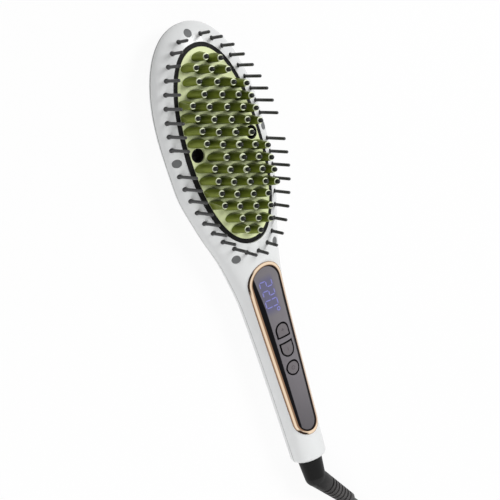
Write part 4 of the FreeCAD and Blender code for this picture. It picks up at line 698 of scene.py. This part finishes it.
def add_digits():
    skin = skin_of("panel_lens")
    for number, (digit, foot, top, left, right) in enumerate(DIGITS):
        mesh = bmesh.new()
        for stroke in DIGIT_STROKES[digit]:
            ends = []
            for across, up in STROKES[stroke]:
                ends.append(Vector((foot + (top - foot) * up / 2, left + (right - left) * across)))
            inward = (ends[1] - ends[0]).normalized() * STROKE * STROKE_INSET
            ribbon(mesh, skin, line_points(ends[0] + inward, ends[1] - inward), STROKE)
        finish_piece("display_digit_%d" % (number + 1), mesh, DIGIT, "housing")
    mesh = bmesh.new()
    ribbon(mesh, skin, ring_points(DEGREE_PLACE, DEGREE_RADIUS), DEGREE_STROKE, closed=True)
    finish_piece("display_degree", mesh, DIGIT, "housing")


def add_symbols():
    """A plus, a minus and an on/off sign, read from the panel's -X side as the digits are."""
    for kind, bars in SIGN_BARS.items():
        skin = skin_of("key_" + kind)
        mesh = bmesh.new()
        y = KEY_PLACES[kind]
        for across, along in bars:
            start = (-SIGN_REACH * across, y - SIGN_REACH * along)
            end = (SIGN_REACH * across, y + SIGN_REACH * along)
            ribbon(mesh, skin, line_points(start, end), SIGN_WIDTH)
        if kind == "power":
            ribbon(mesh, skin, ring_points((0.0, y), SIGN_REACH, *POWER_ARC), SIGN_WIDTH)
            start, end = ((share * SIGN_REACH, y) for share in POWER_BAR)
            ribbon(mesh, skin, line_points(start, end), SIGN_WIDTH)
        finish_piece("symbol_" + kind, mesh, SYMBOL, "key_" + kind)


add_digits()
add_symbols()

# ---------------------------------------------------------------- cord
CORD_RADIUS = 0.0029
CORD_STEPS = 6
SLEEVE_YAW = math.radians(38.0)
SLEEVE_DROP = math.radians(10.5)
SLEEVE_LENGTH = 0.038
SLEEVE_END = ELBOW + SLEEVE_LENGTH * Vector((math.sin(SLEEVE_YAW) * math.cos(SLEEVE_DROP),
                                             -math.cos(SLEEVE_YAW) * math.cos(SLEEVE_DROP),
                                             -math.sin(SLEEVE_DROP)))
# The cord's runs: heading in degrees from -Y towards +X, length on the floor, and the height of
# the cord's middle at the run's end.
LEAD_RUNS = [(38.0, 0.011, 0.0038), (29.0, 0.014, 0.0032), (20.0, 0.016, 0.0031),
             (11.0, 0.016, 0.0039)]
TAIL_RUNS = [(0.0, 0.019, 0.0150), (-15.0, 0.019, 0.0118), (-40.0, 0.017, 0.0076),
             (-65.0, 0.016, 0.0062), (-90.0, 0.015, 0.0069)]
# The coil: its turns' radii and heights, and the angle from +X at which the cord enters it.
LANES = (0.0378, 0.0320, 0.0262)
LAYERS = (0.0039, 0.0097, 0.0155)
ENTRY_ANGLE = 11.0
TURNS = 8
EXIT_TURN = TURNS * 360.0 + ENTRY_ANGLE
# The turns' places in the coil, as (lane, layer).  Then how many degrees a change of place takes,
# and after how many the first one comes.
COIL_PLACES = [(0, 0), (1, 0), (2, 0), (2, 1), (2, 2), (1, 2), (1, 1), (0, 1), (0, 2)]
CROSSING_WIDTH = 28.0
FIRST_CROSSING = 331.0
POINTS_PER_TURN = 15


def route(start, runs):
    """The points at the ends of the runs, from the start on."""
    points = [start]
    for heading, length, height in runs:
        turn = math.radians(heading)
        last = points[-1]
        points.append(Vector((last.x + length * math.sin(turn), last.y - length * math.cos(turn),
                              height)))
    return points


def crossings():
    """How far the cord has turned at the middle of each change of place.  The second lies
    beside the first; each later one is a little ahead, as it takes up the room that the turn
    before it leaves."""
    turns = [FIRST_CROSSING, FIRST_CROSSING + 360.0]
    while len(turns) < len(COIL_PLACES) - 1:
        turns.append(turns[-1] + 360.0 - CROSSING_WIDTH)
    return turns


def coil_place(turned):
    """Radius and height of the wound cord after so many degrees."""
    lane, layer = COIL_PLACES[0]
    radius, height = LANES[lane], LAYERS[layer]
    for crossing, (lane, layer) in zip(crossings(), COIL_PLACES[1:]):
        share = (turned - crossing) / CROSSING_WIDTH + 0.5
        share = min(max(share, 0.0), 1.0)
        share = share * share * (3 - 2 * share)
        radius += (LANES[lane] - radius) * share
        height += (LAYERS[layer] - height) * share
    return radius, height


def cord_points():
    """The cord's route: down from the sleeve, round the coil, and out to the plug."""
    lead = route(SLEEVE_END, LEAD_RUNS)
    entry = math.radians(ENTRY_ANGLE)
    centre = Vector((lead[-1].x - LANES[0] * math.cos(entry),
                     lead[-1].y - LANES[0] * math.sin(entry), 0.0))
    count = TURNS * POINTS_PER_TURN
    step = EXIT_TURN / count
    outward = 1 / math.cos(math.radians(step / 2))
    points = lead[:-1]
    for number in range(count):
        turned = (number + 0.5) * step
        radius, height = coil_place(turned)
        angle = entry - math.radians(turned)
        radius *= outward
        points.append(Vector((centre.x + radius * math.cos(angle),
                              centre.y + radius * math.sin(angle), height)))
    tail = route(Vector((centre.x + LANES[0], centre.y, LAYERS[2])), TAIL_RUNS)
    return points + tail[1:]


def add_cord():
    curve = bpy.data.curves.new("mains_cord", "CURVE")
    curve.dimensions = "3D"
    curve.bevel_depth = CORD_RADIUS
    curve.bevel_resolution = CORD_STEPS
    curve.resolution_u = CORD_STEPS
    curve.use_fill_caps = True
    spline = curve.splines.new("NURBS")
    points = cord_points()
    spline.points.add(len(points) - 1)
    for point, place in zip(spline.points, points):
        point.co = (*place, 1.0)
    spline.order_u = 3
    spline.use_endpoint_u = True
    cord = bpy.data.objects.new("mains_cord", curve)
    SCENE.collection.objects.link(cord)
    curve.materials.append(CORD)
    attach(cord, "cord_swivel")
    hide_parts("cord_lead", "cord_coil", "cord_tail")


add_cord()
